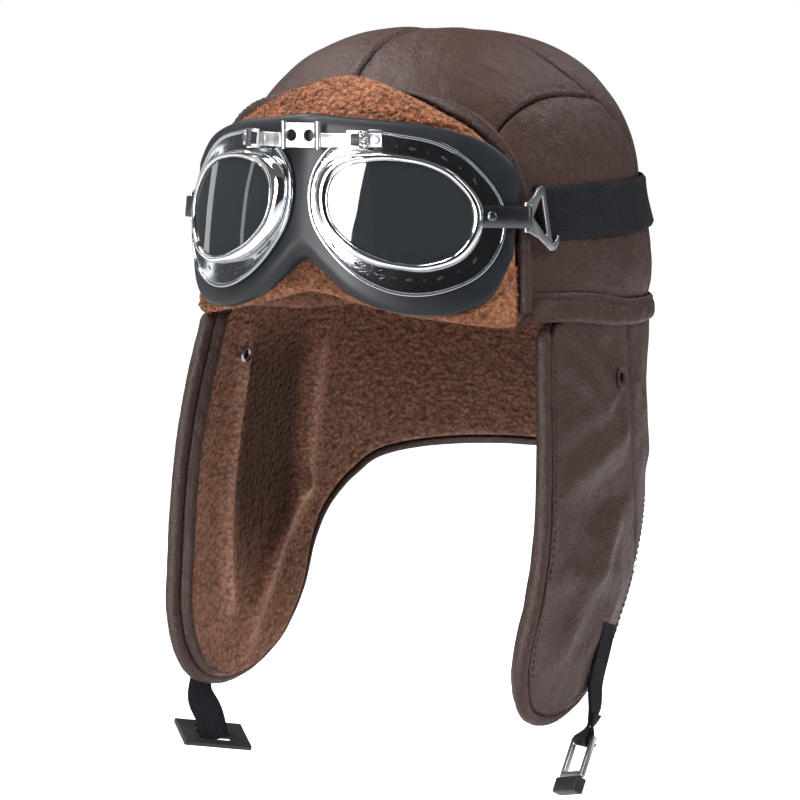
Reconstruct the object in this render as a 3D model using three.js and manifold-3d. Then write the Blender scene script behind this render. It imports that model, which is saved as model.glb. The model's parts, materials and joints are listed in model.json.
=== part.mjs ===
// A padded flying hat with ear flaps, a turned-up fleece visor and a pair of goggles on a strap.
// Millimetres, +Z up. The wearer faces -Y, the wearer's left is +X, and the origin is the middle
// of the head opening, level with the lower edge of the band at the temples.
import * as THREE from 'three';
import { mergeVertices } from 'three/addons/utils/BufferGeometryUtils.js';
import Module from 'manifold-3d';

const wasm = await Module();
wasm.setup();

// Driving dimensions
const GAP = 0.3;
const LEATHER = 1.6;
const LINING = { out: -3.7, in: -8.7, top: -1 };
const CROWN_LINING = { out: -4.5, in: -9.3, pole: 120 };
const SEAM_DIP = 1.3;
const SEAM_REACH = 9;
const PIPING = { radius: 3.5, depth: 3.6 };
const VISOR = { backing: [1.3, 2.8], fleece: [3.4, 8.2] };
const DOME = {
  half: 96, front: 107, back: 125.5, height: 135.5,
  squareFront: 2.2, squareBack: 2.85, archFront: 2.41, archBack: 2.9, lean: -0.01,
};

// Shallow waists that the goggle strap and the band press into the crown behind the temples.
const WAISTS = [{ z: 54, depth: 3, width: 17 }, { z: -2, depth: 2, width: 14 }];
const WAIST_SHARE = { from: 0.25, to: 0.5 };

// Level sections of the hat below the band: half width, place of the widest point, reach in front
// of it and behind it, and how square the section is.
const SKIRT_ROWS = [
  { z: 30, half: 96.0, widest: -10, front: 107, behind: 134, square: 2.8 },
  { z: 0, half: 96.5, widest: -20, front: 107, behind: 146, square: 2.8 },
  { z: -60, half: 102, widest: -50, front: 110, behind: 167, square: 2.9 },
  { z: -100, half: 103.5, widest: -65, front: 120, behind: 179.5, square: 3.0 },
  { z: -130, half: 101.6, widest: -75, front: 130, behind: 189, square: 3.2 },
  { z: -155, half: 98.2, widest: -78, front: 130, behind: 187, square: 3.2 },
  { z: -200, half: 93, widest: -78, front: 130, behind: 185, square: 3.2 },
];

// Middle line of the piping in side view, from the temple round the flap's end to the neck.
const SKIRT_EDGE = [
  { y: -54, z: 12 }, { y: -58, z: -1 }, { y: -64, z: -24 }, { y: -70.5, z: -60 },
  { y: -75.3, z: -98 }, { y: -80.5, z: -127 }, { y: -85.8, z: -149 }, { y: -83.5, z: -166 },
  { y: -73, z: -180 }, { y: -48, z: -187.5 }, { y: -20, z: -185.5 }, { y: 4, z: -177 },
  { y: 20, z: -164.5 }, { y: 32, z: -150 }, { y: 43, z: -131 }, { y: 55.5, z: -113.5 },
  { y: 73, z: -98 }, { y: 90, z: -88 },
];
const NECK_EDGE_Z = -81.5;
const FLAP_CORNER_ROW = 6;
const NECK_CORNER_ROW = 14;
const PIPING_TOP_Z = -3.6;
const NECK_SEAM_DEG = 118;

// Lower and upper edge of the band, by angle from the front.
const BAND_ROWS = [
  { deg: 0, low: 2, high: 14 }, { deg: 57, low: 1, high: 14 }, { deg: 82, low: -2, high: 11 },
  { deg: 111, low: -7, high: 5 }, { deg: 140, low: -9, high: 3 }, { deg: 180, low: -9, high: 3 },
];
const WALL_BLEND = { low: -8, high: 14 };
const BAND_START_DEG = 58;
const BAND_TUCK = 3.5;
const BAND_OFF = 0.6;

// Outline of the turned-up visor, by angle from the front.
const VISOR_ROWS = [
  { deg: 0, low: 15, high: 113 }, { deg: 12, low: 10, high: 110 }, { deg: 24, low: 5, high: 103 },
  { deg: 34, low: 2, high: 95 }, { deg: 41, low: 0, high: 88 }, { deg: 46, low: -1, high: 79 },
  { deg: 49, low: -1, high: 69 }, { deg: 50, low: -1, high: 58 },
];

// Rolled edge of the visor, by angle from the front: thin and hidden behind the fleece in the
// middle, thick and outside it at the sides. Out is how far its middle stands past the edge.
const BINDING_ROWS = [
  { deg: 0, radius: 1.2, depth: 1.6, out: -1.6 }, { deg: 14, radius: 1.2, depth: 1.6, out: -1.6 },
  { deg: 20, radius: 1.2, depth: 1.6, out: 0 }, { deg: 25, radius: 1.2, depth: 1.6, out: 1.9 },
  { deg: 31, radius: 2.4, depth: 3, out: 3.2 }, { deg: 37, radius: 3.2, depth: 4.2, out: 4 },
  { deg: 50, radius: 3.2, depth: 4.2, out: 4 },
];
const BINDING_FOOT_Z = 3.5;

// Seams of the crown on the wearer's left, as guide points that are laid onto the dome.
const SEAM_FRONT = [[0, -107, 17], [22, -104, 12], [44, -93, 9]];
const SEAM_CHEEK = [[44, -93, 9], [63, -80, 9], [80, -60, 10]];
const SEAM_CENTRE = [[0, -107, 17], [0, -98, 70], [0, -72, 112], [0, -30, 129], [0, 15, 134]];
const SEAM_SIDE = [[44, -93, 9], [62, -80, 45], [66, -56, 86], [71, -29, 100], [75, 0, 105], [77, 31, 104]];
const SEAM_CROSS = [[0, 15, 134], [36, 9, 130], [59, 10, 121], [70, 19, 112], [77, 31, 104]];
const SEAM_REAR = [[77, 31, 104], [81, 50, 91], [83, 66, 74], [86, 72, 40], [86, 72, -3]];

// Soft folds of the flaps in side view: a straight ridge from one point to the other.
const FLAP_FOLDS = [
  { y0: -26, z0: -8, y1: -4, z1: -37, height: 2.4, width: 6 },
  { y0: -12, z0: -8, y1: 1, z1: -22, height: -2.2, width: 6 },
  { y0: -48, z0: -72, y1: 18, z1: -58, height: 2.0, width: 9 },
  { y0: -52, z0: -92, y1: 20, z1: -82, height: -1.8, width: 9 },
  { y0: -50, z0: -150, y1: -2, z1: -100, height: 2.2, width: 10 },
];
const LINING_FOLDS = [
  { y0: -27, z0: -6, y1: -46, z1: -150, height: 4.5, width: 9 },
  { y0: 44, z0: 0, y1: 30, z1: -100, height: 4.0, width: 8 },
  { y0: 30, z0: -100, y1: -34, z1: -176, height: 4.0, width: 8 },
];

// Ventilation eyelets of the ear flaps in side view.
const EYELETS = [{ side: 1, y: 12, z: -32 }, { side: -1, y: -31, z: -25 }];
const EYELET = {
  hole: 2.4,
  outer: [[2.6, 0], [5.2, 0], [4.6, 1.2], [2.6, 0.7]],
  inner: [[2.6, 0], [4.6, 0], [4.1, 1.1], [2.6, 0.6]],
};

// Goggles: the middle of each eye plate, where it faces, and its outlines by direction.
const EYE = { x: 47.5, y: -108, z: 52, yaw: 24, pitch: 6, centre: -3, bend: 160, bendFrom: -12 };
const EYE_OUTLINE = [
  { deg: 0, glass: 33, bezel: 37.6, plate: 47 }, { deg: 30, glass: 28, bezel: 32, plate: 40.6 },
  { deg: 60, glass: 24, bezel: 27.3, plate: 36.8 }, { deg: 90, glass: 23, bezel: 26.5, plate: 36 },
  { deg: 120, glass: 26.5, bezel: 31.5, plate: 42 }, { deg: 150, glass: 34, bezel: 41.5, plate: 45 },
  { deg: 180, glass: 32.3, bezel: 38.6, plate: 42 }, { deg: 210, glass: 26, bezel: 31, plate: 36.7 },
  { deg: 240, glass: 22, bezel: 26.6, plate: 35.2 }, { deg: 270, glass: 22.3, bezel: 25.5, plate: 37 },
  { deg: 300, glass: 25.8, bezel: 30, plate: 41 }, { deg: 330, glass: 31.5, bezel: 36, plate: 46.6 },
];
const PLATE = { back: -1.2, front: 0, bead: 0.9 };
const BEZEL = { foot: 0.3, crest: 5.2, glassSeat: 2.0 };
const LENS = { back: 2.3, front: 3.9, under: 0.4 };

// Rubber mask in front view: its upper and lower edge by distance from the middle.
const MASK_ROWS = [
  { x: 0, low: 34, high: 93 }, { x: 12, low: 24, high: 93 }, { x: 25, low: 14, high: 92 },
  { x: 42, low: 7.5, high: 90 }, { x: 59, low: 5.5, high: 85 }, { x: 73, low: 8, high: 77 },
  { x: 83, low: 16, high: 67 }, { x: 88, low: 33, high: 56 },
];
const MASK = { guide: 14, roll: 9, rim: 1.6, clear: 0.6 };

// Nose bridge between the plates: a link, a pin at each end, and an arm with a clamp on each plate.
const BRIDGE = {
  y: -121.2, z: 86.6, half: 7.4, high: 11.2, thick: 1.8, notch: 2.3, notchAt: 4.6, pin: 1.3, pinOver: 0.8,
};
const ARM = { low: 29.4, high: 35.8, thick: 1.2 };
const ARM_ROWS = [
  { out: -34, lift: 2 }, { out: -28, lift: 1.9 }, { out: -20, lift: 1.9 }, { out: -11.6, lift: 1.9 },
];
const CLAMP = { from: -27, to: -17.5, lift: 4, low: 28.1, high: 37.1, thick: 2.4 };
const SCREW = { radius: 1.9, high: 1.2, out: -14.4, up: 32.6, lift: 3.4 };
const RIVET = { top: 1.7, foot: 2.5, high: 1.2, in: 4, lift: 3.3 };

// Strap hook: a flat bent-wire plate in its own plane, from the curled tab to the strap's bar.
const HOOK = {
  u: 52.8, v: -1, lift: -0.8, curl: 2.3, tabStart: 34, tabHigh: 10, endX: 92.8, endY: -47, thick: 1.4,
};
const HOOK_OUTLINE = [
  [-0.8, -6.9], [1.6, -6.9], [10, -10], [17.3, -14.2], [20.5, -16.4], [24.8, -16.2], [27.6, -13.8],
  [28.8, -10], [27.2, -9.3], [25.5, -11.8], [22.6, -13.2], [21.6, -9.5], [15.8, 11.2], [15.2, 13.2],
  [12.5, 13.9], [10, 13], [7, 9.8], [1.6, 6.9], [-0.8, 6.9],
];
const HOOK_SLOT = [[0.9, -5.4], [3.8, -5.4], [3.8, 5.4], [0.9, 5.4]];
const HOOK_WINDOW = [[5.4, 0], [12.2, 8.8], [13.2, 8.8], [17.9, -8.2], [16.9, -9.2]];

// Elastic strap: middle height and distance from the crown, by angle from the front.
const STRAP_ROWS = [
  { deg: 58, z: 50.3, off: 1.2 }, { deg: 63, z: 50.1, off: 1 }, { deg: 69, z: 50, off: 1 },
  { deg: 76, z: 49.8, off: 1.1 }, { deg: 90, z: 49.5, off: 1.2 }, { deg: 115, z: 49.5, off: 1.3 },
  { deg: 150, z: 51, off: 1.4 }, { deg: 180, z: 52, off: 1.2 },
];
const STRAP = { width: 25, thick: 1.6 };

// Chin straps, from where each is sewn to its flap down to its buckle. A row that lies on the flap
// gets its place across the hat from the flap's outside.
const CHIN = { width: 15, thick: 1.5 };
const CHIN_LEFT = [
  { lies: true, at: [0, 0.5, -150], width: [0, 1, -0.25] },
  { lies: true, at: [0, -3.5, -164], width: [0, 1, -0.25] },
  { lies: true, at: [0, -8, -178], width: [0, 1, -0.25] },
  { lies: false, at: [96.8, -11.5, -190], width: [-0.4, 0.9, -0.25] },
  { lies: false, at: [95.4, -14.9, -201.5], width: [-0.84, 0.48, -0.26] },
];
const CHIN_RIGHT = [
  { lies: true, at: [0, -47, -156], width: [0, 1, 0.3] },
  { lies: true, at: [0, -53, -170], width: [0, 1, 0.25] },
  { lies: true, at: [0, -59, -184], width: [0, 1, 0.1] },
  { lies: false, at: [-96.8, -58.5, -195], width: [-0.25, 0.95, 0] },
  { lies: false, at: [-96.6, -50, -205], width: [-0.35, 0.9, 0] },
  { lies: false, at: [-96.4, -46.9, -215.1], width: [-0.5, 0.85, 0] },
];
const BUCKLE = {
  top: [94.6, -16.5, -203], along: [-0.06, -0.55, -0.83], across: [-0.84, 0.48, -0.26],
  width: 19, frameLong: 21, long: 29, rail: 3, bar: 3, thick: 2.6, grip: 5.6,
};
const SLIDER = {
  at: [-96.6, -49, -217.5], along: [20, 25.8, -6], across: [20.9, -18.5, -9.8],
  long: 36, wide: 22, slot: 17, thick: 2.6,
};

const COLOURS = {
  leather: { color: 0x5a4540, roughness: 0.48, metalness: 0 },
  fleece: { color: 0xa0512c, roughness: 0.95, metalness: 0 },
  rubber: { color: 0x23282e, roughness: 0.45, metalness: 0 },
  chrome: { color: 0xd7dade, roughness: 0.08, metalness: 1 },
  glass: { color: 0x20262a, roughness: 0.04, metalness: 0 },
  webbing: { color: 0x17191b, roughness: 0.85, metalness: 0 },
  black: { color: 0x202226, roughness: 0.4, metalness: 0 },
};

const hat = new THREE.Group();
const radians = THREE.MathUtils.degToRad;
const degrees = THREE.MathUtils.radToDeg;
const clamp = THREE.MathUtils.clamp;
const lerp = THREE.MathUtils.lerp;
const point = (x, y, z) => new THREE.Vector3(x, y, z);

// Tables and closed bodies

// A table that starts or ends on the hat's middle plane runs level there.
const LEVEL_AT = [0, 180];

/** Smooth value of one column of a table at a place along another column. */
function lookUp(rows, key, column, at, wrap = 0) {
  const whole = wrap ? [rows.at(-1), ...rows, rows[0], rows[1]] : rows;
  const keys = whole.map((row, i) => row[key] + (wrap ? (i === 0 ? -wrap : i > rows.length ? wrap : 0) : 0));
  const rising = keys.at(-1) > keys[0];
  const last = keys.length - 2;
  let i = 0;
  while (i < last && (rising ? at > keys[i + 1] : at < keys[i + 1])) i += 1;
  const t = clamp((at - keys[i]) / (keys[i + 1] - keys[i]), 0, 1);
  const slope = (k) => {
    if ((k === 0 || k === keys.length - 1) && LEVEL_AT.includes(keys[k])) return 0;
    const a = Math.max(k - 1, 0);
    const b = Math.min(k + 1, keys.length - 1);
    return (whole[b][column] - whole[a][column]) / (keys[b] - keys[a]);
  };
  const span = keys[i + 1] - keys[i];
  const t2 = t * t;
  const t3 = t2 * t;
  return whole[i][column] * (2 * t3 - 3 * t2 + 1) + slope(i) * span * (t3 - 2 * t2 + t)
    + whole[i + 1][column] * (3 * t2 - 2 * t3) + slope(i + 1) * span * (t3 - t2);
}

/** Closed surface from points and triangles, turned so that its faces point out. */
function closedBody(points, triangles) {
  let volume = 0;
  for (const [a, b, c] of triangles) {
    volume += points[a].dot(point(0, 0, 0).crossVectors(points[b], points[c]));
  }
  const index = triangles.flatMap(([a, b, c]) => (volume > 0 ? [a, b, c] : [a, c, b]));
  const geometry = new THREE.BufferGeometry().setFromPoints(points);
  geometry.setIndex(index);
  return geometry;
}

/** Body between two surfaces over a grid of u and v, each from 0 to 1. */
function gridBody(outer, inner, columns, rows) {
  const points = [];
  const triangles = [];
  const layer = (columns + 1) * (rows + 1);
  for (const surface of [outer, inner]) {
    for (let j = 0; j <= rows; j += 1) {
      for (let i = 0; i <= columns; i += 1) points.push(surface(i / columns, j / rows));
    }
  }
  const at = (i, j, side) => side * layer + j * (columns + 1) + i;
  const quad = (a, b, c, d) => triangles.push([a, b, c], [a, c, d]);
  for (let j = 0; j < rows; j += 1) {
    for (let i = 0; i < columns; i += 1) {
      quad(at(i, j, 0), at(i + 1, j, 0), at(i + 1, j + 1, 0), at(i, j + 1, 0));
      quad(at(i, j, 1), at(i, j + 1, 1), at(i + 1, j + 1, 1), at(i + 1, j, 1));
    }
  }
  for (let i = 0; i < columns; i += 1) {
    quad(at(i, 0, 1), at(i + 1, 0, 1), at(i + 1, 0, 0), at(i, 0, 0));
    quad(at(i, rows, 0), at(i + 1, rows, 0), at(i + 1, rows, 1), at(i, rows, 1));
  }
  for (let j = 0; j < rows; j += 1) {
    quad(at(0, j, 0), at(0, j + 1, 0), at(0, j + 1, 1), at(0, j, 1));
    quad(at(columns, j, 1), at(columns, j + 1, 1), at(columns, j + 1, 0), at(columns, j, 0));
  }
  return closedBody(points, triangles);
}

/** Bowl or disc between two surfaces: u runs round it, v from its rim to its pole. */
function bowlBody(outer, inner, around, rows) {
  const points = [];
  const triangles = [];
  for (const surface of [outer, inner]) {
    for (let j = 0; j < rows; j += 1) {
      for (let i = 0; i < around; i += 1) points.push(surface(i / around, j / rows));
    }
    points.push(surface(0, 1));
  }
  const layer = around * rows + 1;
  const at = (i, j, side) => side * layer + (j === rows ? around * rows : j * around + (i % around));
  for (let i = 0; i < around; i += 1) {
    for (const side of [0, 1]) {
      const turn = (a, b, c) => triangles.push(side ? [a, c, b] : [a, b, c]);
      for (let j = 0; j < rows - 1; j += 1) {
        turn(at(i, j, side), at(i + 1, j, side), at(i + 1, j + 1, side));
        turn(at(i, j, side), at(i + 1, j + 1, side), at(i, j + 1, side));
      }
      turn(at(i, rows - 1, side), at(i + 1, rows - 1, side), at(i, rows, side));
    }
    triangles.push([at(i, 0, 1), at(i + 1, 0, 1), at(i + 1, 0, 0)]);
    triangles.push([at(i, 0, 1), at(i + 1, 0, 0), at(i, 0, 0)]);
  }
  return closedBody(points, triangles);
}

/** Body that joins a list of rings of points: a closed hoop, or a bar with flat ends. */
function loftBody(rings, hoop) {
  const size = rings[0].length;
  const points = rings.flat();
  const triangles = [];
  const spans = hoop ? rings.length : rings.length - 1;
  const at = (i, k) => (i % rings.length) * size + (k % size);
  for (let i = 0; i < spans; i += 1) {
    for (let k = 0; k < size; k += 1) {
      triangles.push([at(i, k), at(i + 1, k), at(i + 1, k + 1)], [at(i, k), at(i + 1, k + 1), at(i, k + 1)]);
    }
  }
  if (!hoop) {
    for (const [i, flip] of [[0, false], [rings.length - 1, true]]) {
      const middle = rings[i].reduce((sum, p) => sum.add(p), point(0, 0, 0)).divideScalar(size);
      points.push(middle);
      const centre = points.length - 1;
      for (let k = 0; k < size; k += 1) {
        triangles.push(flip ? [centre, at(i, k + 1), at(i, k)] : [centre, at(i, k), at(i, k + 1)]);
      }
    }
  }
  return closedBody(points, triangles);
}

/** Flat shape with holes and a thickness, laid on a plane by its middle and two directions. */
function plateBody(outline, holes, thick, centre, along, up) {
  const shape = new THREE.Shape(outline.map(([a, b]) => new THREE.Vector2(a, b)));
  shape.holes = holes.map((hole) => new THREE.Path(hole.map(([a, b]) => new THREE.Vector2(a, b))));
  const geometry = new THREE.ExtrudeGeometry(shape, { depth: thick, bevelEnabled: false, steps: 1 });
  geometry.translate(0, 0, -thick / 2);
  const u = along.clone().normalize();
  const w = point(0, 0, 0).crossVectors(u, up).normalize();
  const v = point(0, 0, 0).crossVectors(w, u);
  geometry.applyMatrix4(new THREE.Matrix4().makeBasis(u, v, w).setPosition(centre));
  return welded(geometry);
}

/** Direction in which a row of places runs at one of them. */
function runAlong(places, i) {
  const next = places[Math.min(i + 1, places.length - 1)];
  return next.clone().sub(places[Math.max(i - 1, 0)]).normalize();
}

/** Ring of six points about a middle, in the plane of two directions. */
function hexagon(middle, across, up, radius) {
  return [0, 60, 120, 180, 240, 300].map((turn) => middle.clone()
    .addScaledVector(across, radius * Math.cos(radians(turn)))
    .addScaledVector(up, radius * Math.sin(radians(turn))));
}

/** Round tube along a smooth path through some points. */
function tubeBody(path, radius, sides, steps) {
  const section = new THREE.Shape();
  for (let k = 0; k < sides; k += 1) {
    const turn = (2 * Math.PI * k) / sides;
    const move = k === 0 ? 'moveTo' : 'lineTo';
    section[move](radius * Math.cos(turn), radius * Math.sin(turn));
  }
  const curve = new THREE.CatmullRomCurve3(path, false, 'centripetal');
  return welded(new THREE.ExtrudeGeometry(section, { steps, extrudePath: curve, bevelEnabled: false }));
}

function welded(geometry) {
  geometry.deleteAttribute('normal');
  geometry.deleteAttribute('uv');
  return mergeVertices(geometry, 1e-3);
}

/** The same body on the other side of the hat. */
function mirrored(geometry) {
  const copy = geometry.clone();
  const place = copy.getAttribute('position');
  for (let i = 0; i < place.count; i += 1) place.setX(i, -place.getX(i));
  const index = Array.from(copy.getIndex().array);
  for (let i = 0; i < index.length; i += 3) [index[i + 1], index[i + 2]] = [index[i + 2], index[i + 1]];
  copy.setIndex(index);
  return copy;
}

function solidOf(geometry) {
  return new wasm.Manifold(new wasm.Mesh({
    numProp: 3,
    vertProperties: new Float32Array(geometry.getAttribute('position').array),
    triVerts: new Uint32Array(geometry.getIndex().array),
  }));
}

function geometryOf(solid) {
  const mesh = solid.getMesh();
  const geometry = new THREE.BufferGeometry();
  geometry.setAttribute('position', new THREE.BufferAttribute(new Float32Array(mesh.vertProperties), 3));
  geometry.setIndex(Array.from(mesh.triVerts));
  return geometry;
}

function add(name, geometry, finish) {
  const shaded = geometry.getIndex() ? geometry.toNonIndexed() : geometry;
  shaded.computeVertexNormals();
  const mesh = new THREE.Mesh(shaded, new THREE.MeshStandardMaterial(COLOURS[finish]));
  mesh.name = name;
  hat.add(mesh);
}

function addPair(name, geometry, finish) {
  add(`${name}_left`, geometry, finish);
  add(`${name}_right`, mirrored(geometry), finish);
}

// Surfaces of the hat

/** How far a point lies from the middle, as a share of the dome's own distance there. */
function domeShare(p, off) {
  const level = Math.hypot(p.x, p.y) + 1e-6;
  const back = 0.5 + (0.5 * p.y) / level;
  const arch = lerp(DOME.archFront, DOME.archBack, back);
  const square = lerp(DOME.squareFront, DOME.squareBack, back);
  const y = p.y - DOME.lean * p.z;
  const reach = (y > 0 ? DOME.back : DOME.front) + off;
  const flat = (Math.abs(p.x) / (DOME.half + off)) ** square + (Math.abs(y) / reach) ** square;
  return (flat ** (arch / square) + (Math.abs(p.z) / (DOME.height + off)) ** arch) ** (1 / arch);
}

/** How deep the waists are at a place. */
function waistAt(p) {
  const back = 0.5 + (0.5 * p.y) / (Math.hypot(p.x, p.y) + 1e-6);
  const depth = WAISTS.reduce((sum, w) => sum + w.depth * Math.exp(-(((p.z - w.z) / w.width) ** 2)), 0);
  return depth * THREE.MathUtils.smoothstep(back, WAIST_SHARE.from, WAIST_SHARE.to);
}

/** A guide point laid onto the dome along the line from the origin. */
function onDome(guide, off = 0) {
  const first = guide.clone().multiplyScalar(1 / domeShare(guide, off));
  return first.multiplyScalar(1 / domeShare(first, off - waistAt(first)));
}

/** Point of the dome at an angle from the front and a height. */
function domeAt(deg, z, off = 0) {
  const turn = radians(deg);
  let low = 0;
  let high = 200;
  for (let step = 0; step < 40; step += 1) {
    const r = (low + high) / 2;
    const p = point(r * Math.sin(turn), -r * Math.cos(turn), z);
    if (domeShare(p, off - waistAt(p)) < 1) low = r;
    else high = r;
  }
  return point(low * Math.sin(turn), -low * Math.cos(turn), z);
}

const skirtRow = (z) => Object.fromEntries(['half', 'widest', 'front', 'behind', 'square']
  .map((column) => [column, lookUp(SKIRT_ROWS, 'z', column, z)]));

/** Point of the skirt below the band: the angle is taken about the section's widest level. */
function skirtAt(deg, z, off = 0) {
  const row = skirtRow(z);
  const s = Math.sin(radians(deg));
  const c = Math.cos(radians(deg));
  const reach = (c > 0 ? row.front : row.behind) + off;
  const share = (Math.abs(s) / (row.half + off)) ** row.square + (Math.abs(c) / reach) ** row.square;
  const r = share ** (-1 / row.square);
  return point(r * s, row.widest - r * c, z);
}

/** Angle of a point of the skirt that is given in side view. */
function skirtAngle(y, z) {
  const row = skirtRow(z);
  const ahead = row.widest - y;
  const reach = ahead > 0 ? row.front : row.behind;
  const x = row.half * (1 - (Math.abs(ahead) / reach) ** row.square) ** (1 / row.square);
  return degrees(Math.atan2(x, ahead));
}

/** Point of the wall: the dome above the band, the skirt below it, and a soft change between. */
function wallAt(deg, z, off = 0) {
  if (z >= WALL_BLEND.high) return domeAt(deg, z, off);
  const below = skirtAt(deg, z, off);
  const share = THREE.MathUtils.smoothstep(z, WALL_BLEND.low, WALL_BLEND.high);
  return share > 0 ? below.lerp(domeAt(deg, z, off), share) : below;
}

/** Height of the soft folds at a point in side view. */
function foldHeight(folds, y, z) {
  return folds.reduce((sum, f) => {
    const length2 = (f.y1 - f.y0) ** 2 + (f.z1 - f.z0) ** 2;
    const t = clamp(((y - f.y0) * (f.y1 - f.y0) + (z - f.z0) * (f.z1 - f.z0)) / length2, 0, 1);
    const away = Math.hypot(y - lerp(f.y0, f.y1, t), z - lerp(f.z0, f.z1, t));
    return sum + f.height * Math.exp(-((away / f.width) ** 2));
  }, 0);
}

// Crown

/** Patch between four edges, each given from 0 to 1. */
function coons(low, high, left, right) {
  return (u, v) => {
    const across = left(v).multiplyScalar(1 - u).addScaledVector(right(v), u);
    const along = low(u).multiplyScalar(1 - v).addScaledVector(high(u), v);
    const corners = low(0).multiplyScalar((1 - u) * (1 - v)).addScaledVector(low(1), u * (1 - v))
      .addScaledVector(high(0), (1 - u) * v).addScaledVector(high(1), u * v);
    return across.add(along).sub(corners);
  };
}

const edgeThrough = (points) => {
  const curve = new THREE.CatmullRomCurve3(points, false, 'centripetal');
  return (t) => curve.getPointAt(clamp(t, 0, 1));
};
const guides = (rows) => rows.map(([x, y, z]) => onDome(point(x, y, z)));
const backwards = (edge) => (t) => edge(1 - t);
const flipped = (edge) => (t) => {
  const p = edge(t);
  return point(-p.x, p.y, p.z);
};

/** Leather panel of the crown: it dips towards its seams and stays clear of the next panel. */
function crownPanel(patch, width, height, columns, rows) {
  const place = (u, v, off) => {
    const a = lerp(GAP / width, 1 - GAP / width, u);
    const b = lerp(GAP / height, 1 - GAP / height, v);
    const edge = Math.min(a * width, (1 - a) * width, b * height, (1 - b) * height);
    const dip = SEAM_DIP * Math.exp(-((edge / SEAM_REACH) ** 2) * 2);
    return onDome(patch(a, b), off - dip);
  };
  return gridBody((u, v) => place(u, v, 0), (u, v) => place(u, v, -LEATHER), columns, rows);
}

const centreSeam = edgeThrough(guides(SEAM_CENTRE));
const sideSeam = edgeThrough(guides(SEAM_SIDE));
const crossSeam = edgeThrough(guides(SEAM_CROSS));
const rearSeam = edgeThrough(guides(SEAM_REAR));
const frontEdge = edgeThrough(guides(SEAM_FRONT));
const cheekEdge = edgeThrough(guides(SEAM_CHEEK));
const angleOf = (p) => degrees(Math.atan2(p.x, -p.y));
const crownFoot = (deg) => domeAt(deg, lookUp(BAND_ROWS, 'deg', 'high', Math.min(deg, 360 - deg)) - BAND_TUCK);
const cheekDeg = angleOf(cheekEdge(1));
const rearDeg = angleOf(rearSeam(1));
const sideFoot = (t) => crownFoot(lerp(cheekDeg, rearDeg, t));
const backFoot = (t) => crownFoot(lerp(rearDeg, 360 - rearDeg, t));

/** An edge whose ends are moved onto two given points. */
const fitted = (edge, start, end) => (t) => edge(t)
  .addScaledVector(start.clone().sub(edge(0)), 1 - t).addScaledVector(end.clone().sub(edge(1)), t);
const cheek = fitted(cheekEdge, frontEdge(1), sideFoot(0));
const rear = fitted(rearSeam, crossSeam(1), sideFoot(1));

const topPatch = coons(frontEdge, crossSeam, centreSeam, sideSeam);
const sidePatch = coons(sideFoot, sideSeam, backwards(cheek), backwards(rear));
const crossWhole = (t) => (t < 0.5 ? crossSeam(1 - 2 * t) : flipped(crossSeam)(2 * t - 1));
const backPatch = coons(backFoot, crossWhole, backwards(rear), flipped(backwards(rear)));
addPair('crown_top', crownPanel(topPatch, 80, 190, 7, 12), 'leather');
addPair('crown_side', crownPanel(sidePatch, 150, 90, 12, 7), 'leather');
add('crown_back', crownPanel(backPatch, 190, 130, 14, 7), 'leather');

/** Lower edge of the fleece inside the crown: the visor's fold in front, the band's edge behind. */
function liningFoot(deg) {
  const side = Math.min(deg, 360 - deg);
  const fold = lookUp(VISOR_ROWS, 'deg', 'low', Math.min(side, VISOR_ROWS.at(-1).deg)) + 1;
  const hem = lookUp(BAND_ROWS, 'deg', 'low', side);
  return lerp(fold, hem, THREE.MathUtils.smoothstep(side, 50, 58));
}

const crownLining = (off) => (u, v) => {
  const deg = 360 * u;
  const foot = domeAt(deg, liningFoot(deg), off);
  const rise = radians(90) * v;
  const pole = point(0, DOME.lean, CROWN_LINING.pole);
  const guide = foot.clone().multiplyScalar(Math.cos(rise)).addScaledVector(pole, Math.sin(rise));
  return onDome(guide, off);
};
add('crown_lining', bowlBody(crownLining(CROWN_LINING.out), crownLining(CROWN_LINING.in), 24, 7), 'fleece');

// Band

const bandSurface = (off) => (u, v) => {
  const deg = lerp(BAND_START_DEG, 360 - BAND_START_DEG, u);
  const side = Math.min(deg, 360 - deg);
  const low = lookUp(BAND_ROWS, 'deg', 'low', side);
  const high = lookUp(BAND_ROWS, 'deg', 'high', side);
  return wallAt(deg, lerp(low, high, v), off);
};
add('side_band', gridBody(bandSurface(BAND_OFF + LEATHER), bandSurface(BAND_OFF), 36, 2), 'leather');

// Ear flaps and neck flap

const edgeCurve = (() => {
  const side = SKIRT_EDGE.map(({ y, z }) => point(skirtAngle(y, z), z, 0));
  const half = [...side, point(180, NECK_EDGE_Z, 0)];
  const whole = [...half, ...side.map((p) => point(360 - p.x, p.y, 0)).reverse()];
  return new THREE.CatmullRomCurve3(whole, false, 'centripetal');
})();
const EDGE_SPANS = 2 * SKIRT_EDGE.length;
const edgeAt = (row) => edgeCurve.getPoint(row / EDGE_SPANS);

/** Piping line moved inwards along the skirt's own surface. */
function edgeInside(row, inset) {
  const p = edgeAt(row);
  const step = edgeAt(Math.min(row + 0.05, EDGE_SPANS)).sub(edgeAt(Math.max(row - 0.05, 0)));
  const perDegree = radians(1) * skirtAt(p.x, p.y).setZ(0).distanceTo(point(0, skirtRow(p.y).widest, 0));
  const across = Math.hypot(step.x * perDegree, step.y);
  return point(p.x - (inset * step.y) / across / perDegree, p.y + (inset * step.x * perDegree) / across, 0);
}

const edgeFrom = (from, to, inset) => (t) => edgeInside(lerp(from, to, t), inset);
const skirtTop = (from, to, lift) => (t) => {
  const deg = lerp(from, to, t);
  return point(deg, lookUp(BAND_ROWS, 'deg', 'low', Math.min(deg, 360 - deg)) + lift, 0);
};
const straight = (a, b) => (t) => a.clone().lerp(b, t);

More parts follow.
